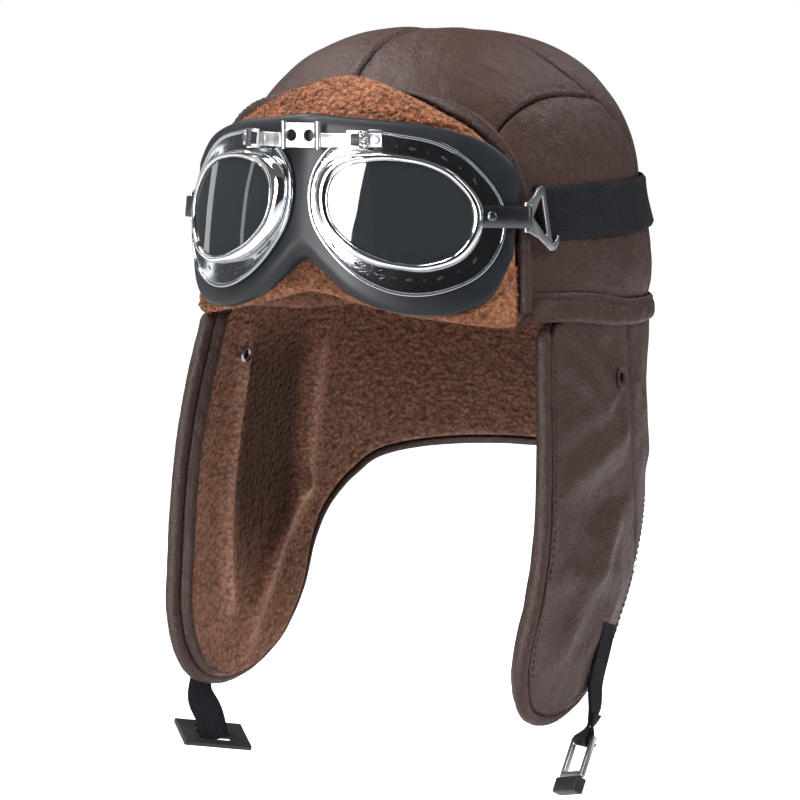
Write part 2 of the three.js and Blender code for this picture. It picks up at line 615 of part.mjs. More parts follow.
/** Place along the edge line where it comes down past the height that a test gives. */
function rowBelow(inset, heightAt) {
  let low = 0;
  let high = 2;
  for (let step = 0; step < 30; step += 1) {
    const row = (low + high) / 2;
    const p = edgeInside(row, inset);
    if (p.y > heightAt(p.x)) low = row;
    else high = row;
  }
  return low;
}

/** Flap from the temple to the neck seam, as a patch of angle and height. */
function flapPatch(lift, inset) {
  const topHeight = (deg) => skirtTop(deg, deg, lift)(0).y;
  const front = edgeFrom(rowBelow(inset, topHeight), FLAP_CORNER_ROW, inset);
  const bottom = edgeFrom(FLAP_CORNER_ROW, NECK_CORNER_ROW, inset);
  const top = skirtTop(front(0).x, NECK_SEAM_DEG, lift);
  return coons(bottom, fitted(top, front(0), top(1)), backwards(front), straight(bottom(1), top(1)));
}

function neckPatch(lift, inset) {
  const bottom = edgeFrom(NECK_CORNER_ROW, EDGE_SPANS - NECK_CORNER_ROW, inset);
  const top = skirtTop(NECK_SEAM_DEG, 360 - NECK_SEAM_DEG, lift);
  return coons(bottom, top, straight(bottom(0), top(0)), straight(bottom(1), top(1)));
}

/** Part of the skirt between two faces, each with its distance from the wall and its folds. */
function skirtBody(patch, outside, inside, seams, columns, rows) {
  const face = ({ off, folds, sign }) => (u, v) => {
    const p = patch(lerp(seams[0], 1 - seams[1], u), v);
    const flat = wallAt(p.x, p.y, off);
    const rim = Math.min(1, 5 * v, 5 * (1 - v), 6 * u, 6 * (1 - u));
    return wallAt(p.x, p.y, off + sign * rim * foldHeight(folds, flat.y, flat.z));
  };
  return gridBody(face(outside), face(inside), columns, rows);
}

const seamShare = GAP / 120;
const flapSeams = [0, seamShare];
const neckSeams = [seamShare, seamShare];
const leatherInset = PIPING.radius + 2 * GAP;
const liningInset = PIPING.radius + 5 * GAP;
const faces = (folds, liningFolds) => ({
  leather: [{ off: 0, folds, sign: 1 }, { off: -LEATHER, folds, sign: 1 }],
  lining: [{ off: LINING.out, folds, sign: 1 }, { off: LINING.in, folds: liningFolds, sign: -1 }],
});
const flapFaces = faces(FLAP_FOLDS, LINING_FOLDS);
const neckFaces = faces([], []);
const flapShell = skirtBody(flapPatch(BAND_TUCK, leatherInset), ...flapFaces.leather, flapSeams, 7, 12);
const flapLining = skirtBody(flapPatch(LINING.top, liningInset), ...flapFaces.lining, flapSeams, 7, 12);
const neckShell = skirtBody(neckPatch(BAND_TUCK, leatherInset), ...neckFaces.leather, neckSeams, 18, 4);
const neckLining = skirtBody(neckPatch(LINING.top, liningInset), ...neckFaces.lining, neckSeams, 18, 4);
add('neck_flap', neckShell, 'leather');
add('neck_flap_lining', neckLining, 'fleece');

const pipingTop = rowBelow(0, () => PIPING_TOP_Z);
const pipingPath = [];
for (let row = pipingTop; row < EDGE_SPANS - pipingTop; row += (EDGE_SPANS - 2 * pipingTop) / 36.001) {
  const p = edgeAt(row);
  pipingPath.push(wallAt(p.x, p.y, -PIPING.depth));
}
const piping = tubeBody(pipingPath, PIPING.radius, 6, 48);
add('edge_piping', piping, 'leather');

// Eyelets

/** Direction that the wall faces at an angle and a height. */
function wallNormal(deg, z) {
  const across = wallAt(deg + 1, z).sub(wallAt(deg - 1, z));
  const up = wallAt(deg, z + 1).sub(wallAt(deg, z - 1));
  return across.cross(up).normalize();
}

/** Turned ring with its axis along a direction and its back at a place. */
function ringAt(profile, sides, place, direction) {
  const loop = [...profile, profile[0]].map(([r, h]) => new THREE.Vector2(r, h));
  const geometry = welded(new THREE.LatheGeometry(loop, sides));
  const turn = new THREE.Quaternion().setFromUnitVectors(point(0, 1, 0), direction);
  return geometry.applyMatrix4(new THREE.Matrix4().makeRotationFromQuaternion(turn).setPosition(place));
}

/** Place where a flat ring comes to rest on some bodies when it moves towards them. */
function restOn(bodies, from, direction, radius) {
  const bothSides = new THREE.MeshBasicMaterial({ side: THREE.DoubleSide });
  const targets = bodies.map((body) => new THREE.Mesh(body, bothSides));
  const across = point(0, 0, 1).cross(direction).normalize();
  const up = across.clone().cross(direction);
  let reach = Infinity;
  for (const share of [0.5, 1]) {
    for (let turn = 0; turn < 360; turn += 30) {
      const start = from.clone().addScaledVector(across, share * radius * Math.cos(radians(turn)))
        .addScaledVector(up, share * radius * Math.sin(radians(turn)));
      const hit = new THREE.Raycaster(start, direction).intersectObjects(targets)[0];
      if (hit) reach = Math.min(reach, hit.distance);
    }
  }
  return from.clone().addScaledVector(direction, reach - GAP);
}

function pierced(geometry, place, direction) {
  const drill = welded(new THREE.CylinderGeometry(EYELET.hole, EYELET.hole, 60, 10));
  const turn = new THREE.Quaternion().setFromUnitVectors(point(0, 1, 0), direction);
  drill.applyMatrix4(new THREE.Matrix4().makeRotationFromQuaternion(turn).setPosition(place));
  return geometryOf(solidOf(geometry).subtract(solidOf(drill)));
}

for (const { side, y, z } of EYELETS) {
  const name = side > 0 ? 'left' : 'right';
  const deg = skirtAngle(y, z);
  const out = wallNormal(deg, z);
  const back = out.clone().negate();
  const wall = wallAt(deg, z);
  const place = restOn([flapShell], wall.clone().addScaledVector(out, 20), back, EYELET.outer[1][0]);
  const inside = restOn([flapLining], wall.clone().addScaledVector(back, 40), out, EYELET.inner[1][0]);
  const outerRing = ringAt(EYELET.outer, 10, place, out);
  const innerRing = ringAt(EYELET.inner, 10, inside, back);
  const onSide = (geometry) => (side > 0 ? geometry : mirrored(geometry));
  add(`ear_flap_${name}`, onSide(pierced(flapShell, place, out)), 'leather');
  add(`ear_flap_lining_${name}`, onSide(pierced(flapLining, place, out)), 'fleece');
  add(`eyelet_${name}`, onSide(outerRing), 'leather');
  add(`eyelet_inner_${name}`, onSide(innerRing), 'chrome');
}

// Visor

const visorDeg = VISOR_ROWS.at(-1).deg;
const bindingValue = (column, deg) => lookUp(BINDING_ROWS, 'deg', column, Math.abs(deg));
const visorSurface = (off, drop) => (u, v) => {
  const deg = lerp(-visorDeg, visorDeg, u);
  const low = lookUp(VISOR_ROWS, 'deg', 'low', Math.abs(deg));
  const high = lookUp(VISOR_ROWS, 'deg', 'high', Math.abs(deg));
  return domeAt(deg, lerp(low, high - drop(deg), v), off);
};
const visorBody = ([inner, outer], drop) => {
  return gridBody(visorSurface(outer, drop), visorSurface(inner, drop), 14, 6);
};
const backingDrop = (deg) => {
  const room = bindingValue('radius', deg) + GAP - bindingValue('out', deg);
  return Math.max(0, room) + GAP;
};
add('visor_backing', visorBody(VISOR.backing, backingDrop), 'leather');
add('visor_fleece', visorBody(VISOR.fleece, () => 0), 'fleece');

/** Rings of the rolled edge along the visor's sides and top. */
function bindingRings() {
  const perDegree = radians(1) * DOME.half;
  const rim = [[visorDeg, BINDING_FOOT_Z], [visorDeg, 22], [visorDeg, 40]];
  for (let deg = visorDeg; deg > 0; deg -= deg > 40 ? 2 : 5) {
    rim.push([deg, lookUp(VISOR_ROWS, 'deg', 'high', deg)]);
  }
  rim.push([0, VISOR_ROWS[0].high]);
  const whole = [...rim, ...rim.slice(0, -1).reverse().map(([deg, z]) => [-deg, z])];
  const middle = whole.map(([deg, z], i) => {
    const a = whole[Math.max(i - 1, 0)];
    const b = whole[Math.min(i + 1, whole.length - 1)];
    const along = [(b[0] - a[0]) * perDegree, b[1] - a[1]];
    const push = bindingValue('out', deg) / Math.hypot(...along);
    return domeAt(deg + (push * along[1]) / perDegree, z - push * along[0], bindingValue('depth', deg));
  });
  return middle.map((p, i) => {
    const along = runAlong(middle, i);
    const out = p.clone().normalize();
    const across = point(0, 0, 0).crossVectors(along, out).normalize();
    const radius = bindingValue('radius', whole[i][0]);
    return hexagon(p, across, across.clone().cross(along), radius);
  });
}
add('visor_binding', loftBody(bindingRings(), false), 'leather');

// Goggles

const eyeOut = point(Math.cos(radians(EYE.yaw)), Math.sin(radians(EYE.yaw)), 0);
const eyeFace = point(
  Math.sin(radians(EYE.yaw)) * Math.cos(radians(EYE.pitch)),
  -Math.cos(radians(EYE.yaw)) * Math.cos(radians(EYE.pitch)),
  Math.sin(radians(EYE.pitch)),
);
const eyeUp = point(0, 0, 0).crossVectors(eyeFace, eyeOut).normalize();
const eyeMiddle = point(EYE.x, EYE.y, EYE.z);
const eyeSag = (u) => (u - EYE.bendFrom) ** 2 / (2 * EYE.bend);

/** Point of the left eye: out from the nose, up, and forwards of the plate's bent face. */
const eyePoint = (u, v, lift) => eyeMiddle.clone().addScaledVector(eyeOut, u).addScaledVector(eyeUp, v)
  .addScaledVector(eyeFace, lift - eyeSag(u));
const eyeRadius = (column, deg) => lookUp(EYE_OUTLINE, 'deg', column, deg, 360);
const eyeRim = (deg, radius, lift) => eyePoint(
  EYE.centre + radius * Math.cos(radians(deg)), radius * Math.sin(radians(deg)), lift,
);

/** Hoop around the eye whose section is a list of places between the glass and the plate's edge. */
function eyeHoop(section, stations) {
  const rings = [];
  for (let i = 0; i < stations; i += 1) {
    const deg = (360 * i) / stations;
    rings.push(section(deg).map(([radius, lift]) => eyeRim(deg, radius, lift)));
  }
  return loftBody(rings, true);
}

const plateRing = eyeHoop((deg) => {
  const inner = eyeRadius('glass', deg) - LENS.under;
  const outer = eyeRadius('plate', deg);
  return [[inner, PLATE.back], [outer, PLATE.back], [outer, PLATE.bead],
    [outer - 1.4, PLATE.bead], [outer - 1.8, PLATE.front], [inner, PLATE.front]];
}, 28);
addPair('eye_plate', plateRing, 'chrome');

const bezelRing = eyeHoop((deg) => {
  const glass = eyeRadius('glass', deg);
  const outer = eyeRadius('bezel', deg);
  const crest = lerp(glass, outer, 0.45);
  return [[glass + LENS.under + 1, BEZEL.foot], [outer, BEZEL.foot], [outer - 0.8, BEZEL.foot + 1.6],
    [crest, BEZEL.crest], [glass, LENS.front + GAP], [glass + LENS.under + 1, LENS.front + GAP]];
}, 26);
addPair('bezel', bezelRing, 'chrome');

const lensSurface = (lift) => (u, v) => eyeRim(360 * u, (eyeRadius('glass', 360 * u) + 1) * (1 - v), lift);
addPair('lens', bowlBody(lensSurface(LENS.front), lensSurface(LENS.back), 26, 1), 'glass');

// Rubber mask behind the plates

/** Point of the dome straight ahead of a place in front view. */
function domeAhead(x, z, off) {
  let near = 0;
  let far = 200;
  for (let step = 0; step < 40; step += 1) {
    const y = (near + far) / 2;
    if (domeShare(point(x, -y, z), off) < 1) near = y;
    else far = y;
  }
  return point(x, -near, z);
}

/** Distance along a direction at which it reaches the back of the eye plate. */
function reachPlate(direction) {
  const seat = PLATE.back - GAP;
  let reach = 0;
  let sag = 0;
  for (let step = 0; step < 8; step += 1) {
    reach = (eyeMiddle.dot(eyeFace) + seat - sag) / direction.dot(eyeFace);
    sag = eyeSag(direction.clone().multiplyScalar(reach).sub(eyeMiddle).dot(eyeOut));
  }
  return reach;
}

const maskHalf = MASK_ROWS.at(-1).x;
function maskFace(front) {
  return (u, v) => {
    const x = maskHalf * Math.sin(radians(lerp(-90, 90, u)));
    const low = lookUp(MASK_ROWS, 'x', 'low', Math.abs(x));
    const high = lookUp(MASK_ROWS, 'x', 'high', Math.abs(x));
    const z = lerp(low, high, 0.5 - 0.5 * Math.cos(Math.PI * v));
    const guide = domeAhead(Math.abs(x), z, MASK.guide);
    const direction = guide.clone().normalize();
    const base = onDome(guide, VISOR.fleece[1] + MASK.clear).length();
    const fromEdge = Math.min(z - low, high - z, maskHalf - Math.abs(x));
    const rise = Math.sqrt(1 - (1 - clamp(fromEdge / MASK.roll, 0, 1)) ** 2);
    const reach = front ? lerp(base + MASK.rim, Math.max(reachPlate(direction), base + MASK.rim), rise) : base;
    const p = direction.multiplyScalar(reach);
    return point(p.x * Math.sign(x || 1), p.y, p.z);
  };
}

function eyeOpening() {
  const ring = (lift) => {
    const points = [];
    for (let deg = 0; deg < 360; deg += 18) points.push(eyeRim(deg, eyeRadius('glass', deg) + 1.5, lift));
    return points;
  };
  return loftBody([ring(-40), ring(6)], false);
}
const opening = eyeOpening();
const maskSolid = solidOf(gridBody(maskFace(true), maskFace(false), 14, 8))
  .subtract(solidOf(opening)).subtract(solidOf(mirrored(opening)));
add('goggle_mask', geometryOf(maskSolid), 'rubber');

// Nose bridge

const upright = point(0, 0, 1);
const sideways = point(1, 0, 0);
const ringOf = (radius, centre, count) => Array.from({ length: count }, (_, i) => {
  const turn = (2 * Math.PI * i) / count;
  return [centre + radius * Math.cos(turn), radius * Math.sin(turn)];
});
const rectangle = (a0, a1, b0, b1) => [[a0, b0], [a1, b0], [a1, b1], [a0, b1]];
const bridgeMiddle = point(0, BRIDGE.y, BRIDGE.z);
const waist = [ringOf(BRIDGE.notch, -BRIDGE.notchAt, 10), ringOf(BRIDGE.notch, BRIDGE.notchAt, 10)];
const linkOutline = rectangle(-BRIDGE.half, BRIDGE.half, -BRIDGE.high / 2, BRIDGE.high / 2);
add('bridge_link', plateBody(linkOutline, waist, BRIDGE.thick, bridgeMiddle, sideways, upright), 'chrome');

const pinHigh = BRIDGE.high + 2 * BRIDGE.pinOver;
const pin = new THREE.CylinderGeometry(BRIDGE.pin, BRIDGE.pin, pinHigh, 10).rotateX(Math.PI / 2);
const pinAt = bridgeMiddle.clone().add(point(BRIDGE.half + BRIDGE.pin + GAP, 0, 0));
addPair('bridge_pin', welded(pin.translate(...pinAt.toArray())), 'chrome');

/** Strip along a row of places on the eye plate, as [out, lift] pairs, between two heights. */
function eyeStrip(path, low, high, thick) {
  const rings = path.map(([u, lift], i) => {
    const a = path[Math.max(i - 1, 0)];
    const b = path[Math.min(i + 1, path.length - 1)];
    const length = Math.hypot(b[0] - a[0], b[1] - a[1]);
    const across = [(-(b[1] - a[1]) / length) * (thick / 2), ((b[0] - a[0]) / length) * (thick / 2)];
    return [[1, low], [1, high], [-1, high], [-1, low]]
      .map(([side, v]) => eyePoint(u + side * across[0], v, lift + side * across[1]));
  });
  return loftBody(rings, false);
}
const armStart = pinAt.clone().add(point(BRIDGE.pin + GAP, 0, 0)).sub(eyeMiddle);
const armU = armStart.dot(eyeOut);
const armLift = armStart.dot(eyeFace) + eyeSag(armU);
const armPath = [[armU, armLift], ...ARM_ROWS.map((row) => [row.out, row.lift])];
addPair('bridge_arm', eyeStrip(armPath, ARM.low, ARM.high, ARM.thick), 'chrome');
const clampPath = [0, 0.5, 1].map((t) => [lerp(CLAMP.from, CLAMP.to, t), CLAMP.lift]);
addPair('bridge_clamp', eyeStrip(clampPath, CLAMP.low, CLAMP.high, CLAMP.thick), 'chrome');
const screw = new THREE.CylinderGeometry(SCREW.radius, SCREW.radius, SCREW.high, 10);
const eyeSlope = (u) => Math.atan((u - EYE.bendFrom) / EYE.bend);
const placed = (geometry, u, v, lift) => {
  const slope = eyeSlope(u);
  const out = eyeFace.clone().multiplyScalar(Math.cos(slope)).addScaledVector(eyeOut, Math.sin(slope));
  const turn = new THREE.Quaternion().setFromUnitVectors(point(0, 1, 0), out);
  const place = new THREE.Matrix4().makeRotationFromQuaternion(turn).setPosition(eyePoint(u, v, lift));
  return welded(geometry).applyMatrix4(place);
};
addPair('bridge_screw', placed(screw, SCREW.out, SCREW.up, SCREW.lift), 'chrome');

// Strap hooks

const curl = [];
for (let turn = 90; turn >= -150; turn -= 40) {
  const angle = radians(turn) - eyeSlope(HOOK.u);
  const u = HOOK.u + HOOK.curl * Math.cos(angle);
  curl.push([u, HOOK.lift + HOOK.curl * Math.sin(angle) + eyeSag(u) - eyeSag(HOOK.u)]);
}
const tabPath = [[HOOK.tabStart, 1.8], [42, 1.8], [48, 1.7], ...curl];
addPair('strap_tab', eyeStrip(tabPath, HOOK.v - HOOK.tabHigh / 2, HOOK.v + HOOK.tabHigh / 2, 1), 'chrome');
const rivet = new THREE.CylinderGeometry(RIVET.top, RIVET.foot, RIVET.high, 10);
addPair('rivet', placed(rivet, HOOK.tabStart + RIVET.in, HOOK.v, RIVET.lift), 'chrome');

const hookStart = eyePoint(HOOK.u, HOOK.v, HOOK.lift);
const hookAlong = point(HOOK.endX, HOOK.endY, hookStart.z).sub(hookStart).normalize();
const hookBody = plateBody(HOOK_OUTLINE, [HOOK_SLOT, HOOK_WINDOW], HOOK.thick, hookStart, hookAlong, upright);
addPair('strap_hook', hookBody, 'chrome');

// Elastic strap

const strapFace = (off) => (u, v) => {
  const deg = lerp(STRAP_ROWS[0].deg, 360 - STRAP_ROWS[0].deg, u);
  const side = Math.min(deg, 360 - deg);
  const z = lookUp(STRAP_ROWS, 'deg', 'z', side) + (v - 0.5) * STRAP.width;
  return domeAt(deg, z, lookUp(STRAP_ROWS, 'deg', 'off', side) + off);
};
add('goggle_strap', gridBody(strapFace(STRAP.thick), strapFace(0), 30, 2), 'webbing');

// Chin straps and their buckles

/** Place of a strap's middle on the outside of the flap, on one side of the hat. */
function onFlap([, y, z], side, bodies) {
  const start = point(side * 140, y, z);
  const seat = restOn(bodies, start, point(-side, 0, 0), CHIN.width / 2);
  return seat.add(point((side * CHIN.thick) / 2, 0, 0));
}

/** Flat strap along a path: each row has a place and the direction of the strap's width. */
function strapAlong(rows, side, bodies) {
  const { width, thick } = CHIN;
  const places = rows.map((row) => (row.lies ? onFlap(row.at, side, bodies) : point(...row.at)));
  const rings = rows.map((row, i) => {
    const along = runAlong(places, i);
    const across = point(...row.width);
    across.addScaledVector(along, -across.dot(along)).normalize();
    const face = along.cross(across);
    return [[1, 1], [1, -1], [-1, -1], [-1, 1]].map(([a, b]) => places[i].clone()
      .addScaledVector(across, (a * width) / 2).addScaledVector(face, (b * thick) / 2));
  });
  return loftBody(rings, false);
}
add('chin_strap_left', strapAlong(CHIN_LEFT, 1, [flapShell, piping]), 'webbing');
add('chin_strap_right', strapAlong(CHIN_RIGHT, -1, [mirrored(flapShell), piping]), 'webbing');

const buckleTop = point(...BUCKLE.top);
const buckleAlong = point(...BUCKLE.along).normalize();
const buckleAcross = point(...BUCKLE.across).normalize();
const half = BUCKLE.width / 2;
const frameOutline = rectangle(-half, half, 0, BUCKLE.frameLong);
const windowHalf = half - BUCKLE.rail;
const frameWindow = rectangle(-windowHalf, windowHalf, BUCKLE.bar, BUCKLE.frameLong - BUCKLE.bar);
const frameBody = plateBody(frameOutline, [frameWindow], BUCKLE.thick, buckleTop, buckleAcross, buckleAlong);
add('chin_buckle_left', frameBody, 'chrome');
const gripOutline = rectangle(-half, half, BUCKLE.frameLong + GAP, BUCKLE.long);
add('chin_buckle_grip', plateBody(gripOutline, [], BUCKLE.grip, buckleTop, buckleAcross, buckleAlong), 'black');

const sliderOutline = rectangle(-SLIDER.long / 2, SLIDER.long / 2, -SLIDER.wide / 2, SLIDER.wide / 2);
const slot = (side) => rectangle(-SLIDER.slot / 2, SLIDER.slot / 2, ...(side > 0 ? [2, 6.5] : [-6.5, -2]));
const sliderBody = plateBody(sliderOutline, [slot(1), slot(-1)], SLIDER.thick, point(...SLIDER.at),
  point(...SLIDER.along), point(...SLIDER.across));
add('chin_slider_right', sliderBody, 'black');

export default hat;
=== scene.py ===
"""Padded flying hat with a fleece visor and goggles: fine shapes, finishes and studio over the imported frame.

Sizes are millimetres in the classes and become metres where a mesh is made. +Z is up, the wearer faces -Y.
"""
import json
import logging
import math
from collections.abc import Callable, Sequence
from dataclasses import dataclass, field
from enum import Enum

import bmesh
import bpy
import numpy as np
from mathutils import Matrix, Vector

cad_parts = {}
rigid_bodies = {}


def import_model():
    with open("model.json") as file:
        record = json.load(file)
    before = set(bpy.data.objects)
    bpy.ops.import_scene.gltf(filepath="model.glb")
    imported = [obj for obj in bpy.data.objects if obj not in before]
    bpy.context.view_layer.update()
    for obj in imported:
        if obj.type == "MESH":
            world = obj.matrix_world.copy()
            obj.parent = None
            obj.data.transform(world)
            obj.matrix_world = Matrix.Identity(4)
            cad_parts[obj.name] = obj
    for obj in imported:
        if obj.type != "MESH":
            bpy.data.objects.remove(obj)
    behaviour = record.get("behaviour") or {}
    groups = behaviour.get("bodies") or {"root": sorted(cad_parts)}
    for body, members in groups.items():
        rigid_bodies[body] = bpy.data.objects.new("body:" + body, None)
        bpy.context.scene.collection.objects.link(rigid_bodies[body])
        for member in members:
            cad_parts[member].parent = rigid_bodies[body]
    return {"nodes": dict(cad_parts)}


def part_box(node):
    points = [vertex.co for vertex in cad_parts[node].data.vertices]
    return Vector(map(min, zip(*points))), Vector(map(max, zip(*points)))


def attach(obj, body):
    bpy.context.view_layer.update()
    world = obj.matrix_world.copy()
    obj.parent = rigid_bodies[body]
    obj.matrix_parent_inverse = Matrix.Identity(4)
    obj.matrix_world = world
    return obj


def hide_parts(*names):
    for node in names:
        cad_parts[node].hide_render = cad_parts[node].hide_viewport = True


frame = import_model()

LOG = logging.getLogger("hat")
MM = 0.001
SIDES = ((1, "left"), (-1, "right"))
# A surface is found by halving a stretch of this many millimetres this often
FAR, HALVINGS = 200.0, 26
# Points nearer than this many metres are one, and a face of less than this many square metres is none
TOUCHING, NO_AREA = 2e-6, 1e-14

Pair = tuple[float, float]
Triple = tuple[float, float, float]
Array = np.ndarray
Patch = Callable[[Array, Array], Array]
Marks = dict[str, Array]
Placed = tuple[Array, Marks]
Face = Callable[[Array, Array], Placed]
Piece = bpy.types.Object
Material = bpy.types.Material
Socket = bpy.types.NodeSocket


# Numbers and tables

def lerp(a: Array | float, b: Array | float, t: Array | float) -> Array | float:
    """Value between a and b at share t."""
    return a + (b - a) * t


def smoothstep(x: Array | float, low: float, high: float) -> Array:
    """Soft change from 0 at low to 1 at high."""
    t = np.clip((np.asarray(x, float) - low) / (high - low), 0, 1)
    return t * t * (3 - 2 * t)


def points(x: Array | float, y: Array | float, z: Array | float) -> Array:
    """Points from their three coordinates."""
    return np.stack(np.broadcast_arrays(x, y, z), axis=-1).astype(float)


def unit(v: Array) -> Array:
    """Directions of length one."""
    return v / np.maximum(np.linalg.norm(v, axis=-1, keepdims=True), 1e-12)


def hump(x: Array | float, width: float) -> Array:
    """Soft hump of height one around zero."""
    return np.exp(-((np.asarray(x, float) / width) ** 2))


class Table:
    """Smooth curves through the rows of a table with named columns, the first one being the key."""

    LEVEL_AT = (0, 180)

    def __init__(self, columns: str, rows: Sequence[Sequence[float]], turn: float = 0.0) -> None:
        """Sets the table up.

        Args:
            columns: The names of the columns, the key's first.
            rows: One tuple of numbers for each row.
            turn: The length of a whole turn where the key goes round, otherwise 0.
        """
        data = np.array(sorted(rows), float)
        if turn:
            data = np.vstack([data[-1], data, data[:2]])
            data[0, 0] -= turn
            data[-2:, 0] += turn
        self.keys = data[:, 0]
        last = len(self.keys) - 1
        index = np.arange(last + 1)
        before, after = np.maximum(index - 1, 0), np.minimum(index + 1, last)
        self.columns: dict[str, tuple[Array, Array]] = {}
        for index, name in enumerate(columns.split()[1:], start=1):
            value = data[:, index]
            slope = (value[after] - value[before]) / (self.keys[after] - self.keys[before])
            for end in (0, last):
                if self.keys[end] in self.LEVEL_AT:
                    slope[end] = 0
            self.columns[name] = (value, slope)

    def __call__(self, name: str, at: Array | float) -> Array:
        """Value of a column at places along the key."""
        at = np.asarray(at, float)
        value, slope = self.columns[name]
        i = np.clip(np.searchsorted(self.keys[1:], at), 0, len(self.keys) - 2)
        span = self.keys[i + 1] - self.keys[i]
        t = np.clip((at - self.keys[i]) / span, 0, 1)
        t2, t3 = t * t, t * t * t
        return (value[i] * (2 * t3 - 3 * t2 + 1) + slope[i] * span * (t3 - 2 * t2 + t)
                + value[i + 1] * (3 * t2 - 2 * t3) + slope[i + 1] * span * (t3 - t2))


class Spline:
    """Centripetal Catmull-Rom line through some points."""

    STEPS = 200

    def __init__(self, places: Array) -> None:
        """Keeps the points and measures the line."""
        self.places = np.asarray(places, float)
        self.shares = np.linspace(0, 1, self.STEPS + 1)
        drawn = self.at(self.shares)
        pieces = np.linalg.norm(np.diff(drawn, axis=0), axis=1)
        self.lengths = np.concatenate([[0.0], np.cumsum(pieces)])

    def at(self, t: Array | float) -> Array:
        """Points at shares of the line's spans."""
        p = self.places
        spans = len(p) - 1
        at = np.clip(np.asarray(t, float), 0, 1) * spans
        i = np.minimum(at.astype(int), spans - 1)
        w = (at - i)[..., None]
        whole = np.vstack([2 * p[0] - p[1], p, 2 * p[-1] - p[-2]])
        p0, p1, p2, p3 = (whole[i + k] for k in range(4))
        gaps = [np.maximum(np.linalg.norm(b - a, axis=-1, keepdims=True), 1e-8) ** 0.5
                for a, b in ((p0, p1), (p1, p2), (p2, p3))]
        t1 = ((p1 - p0) / gaps[0] - (p2 - p0) / (gaps[0] + gaps[1]) + (p2 - p1) / gaps[1]) * gaps[1]
        t2 = ((p2 - p1) / gaps[1] - (p3 - p1) / (gaps[1] + gaps[2]) + (p3 - p2) / gaps[2]) * gaps[1]
        return p1 + w * (t1 + w * ((3 * (p2 - p1) - 2 * t1 - t2) + w * (2 * (p1 - p2) + t1 + t2)))

    def along(self, t: Array | float) -> Array:
        """Points at shares of the line's length."""
        length = np.clip(np.asarray(t, float), 0, 1) * self.lengths[-1]
        return self.at(np.interp(length, self.lengths, self.shares))


class Noise:
    """Smooth noise in space with a fixed seed."""

    SIZE = 8192

    def __init__(self, seed: int) -> None:
        """Draws the table of values."""
        self.values = np.random.default_rng(seed).uniform(-1, 1, self.SIZE)

    def corner(self, cell: Array) -> Array:
        """Value at the corners of cells."""
        mix = (cell[..., 0] * 73856093) ^ (cell[..., 1] * 19349663) ^ (cell[..., 2] * 83492791)
        return self.values[mix & (self.SIZE - 1)]

    def value(self, p: Array, size: float) -> Array:
        """Noise from -1 to 1 whose bumps are about a size across."""
        q = p / size
        cell = np.floor(q).astype(np.int64)
        f = q - cell
        f = f * f * (3 - 2 * f)
        total = np.zeros(p.shape[:-1])
        for dx in (0, 1):
            for dy in (0, 1):
                for dz in (0, 1):
                    share = ((f[..., 0] if dx else 1 - f[..., 0]) * (f[..., 1] if dy else 1 - f[..., 1])
                             * (f[..., 2] if dz else 1 - f[..., 2]))
                    total += share * self.corner(cell + np.array([dx, dy, dz]))
        return total

    def layered(self, p: Array, size: float) -> Array:
        """Noise with a finer layer on it, half as large and half as strong."""
        return self.value(p, size) + self.value(p + 31.7, size / 2) / 2

    def nubs(self, p: Array, size: float) -> Array:
        """Round nubs about a size across, from 0 in the gaps between them to 1 on top."""
        drift = np.stack([self.value(p + shift, size * 2.2) for shift in (7.1, 53.9, 91.3)], axis=-1)
        q = p / size + drift * 0.35
        cell = np.floor(q).astype(np.int64)
        nearest = np.full(p.shape[:-1], 9.0)
        for index in range(27):
            at = cell + np.array([index // 9 - 1, index // 3 % 3 - 1, index % 3 - 1])
            spot = at + 0.5 + 0.42 * np.stack([self.corner(at + shift) for shift in (0, 401, 977)], axis=-1)
            nearest = np.minimum(nearest, ((q - spot) ** 2).sum(axis=-1))
        return np.clip(1 - 1.25 * nearest, 0, 1)


# Surfaces of the hat, in millimetres

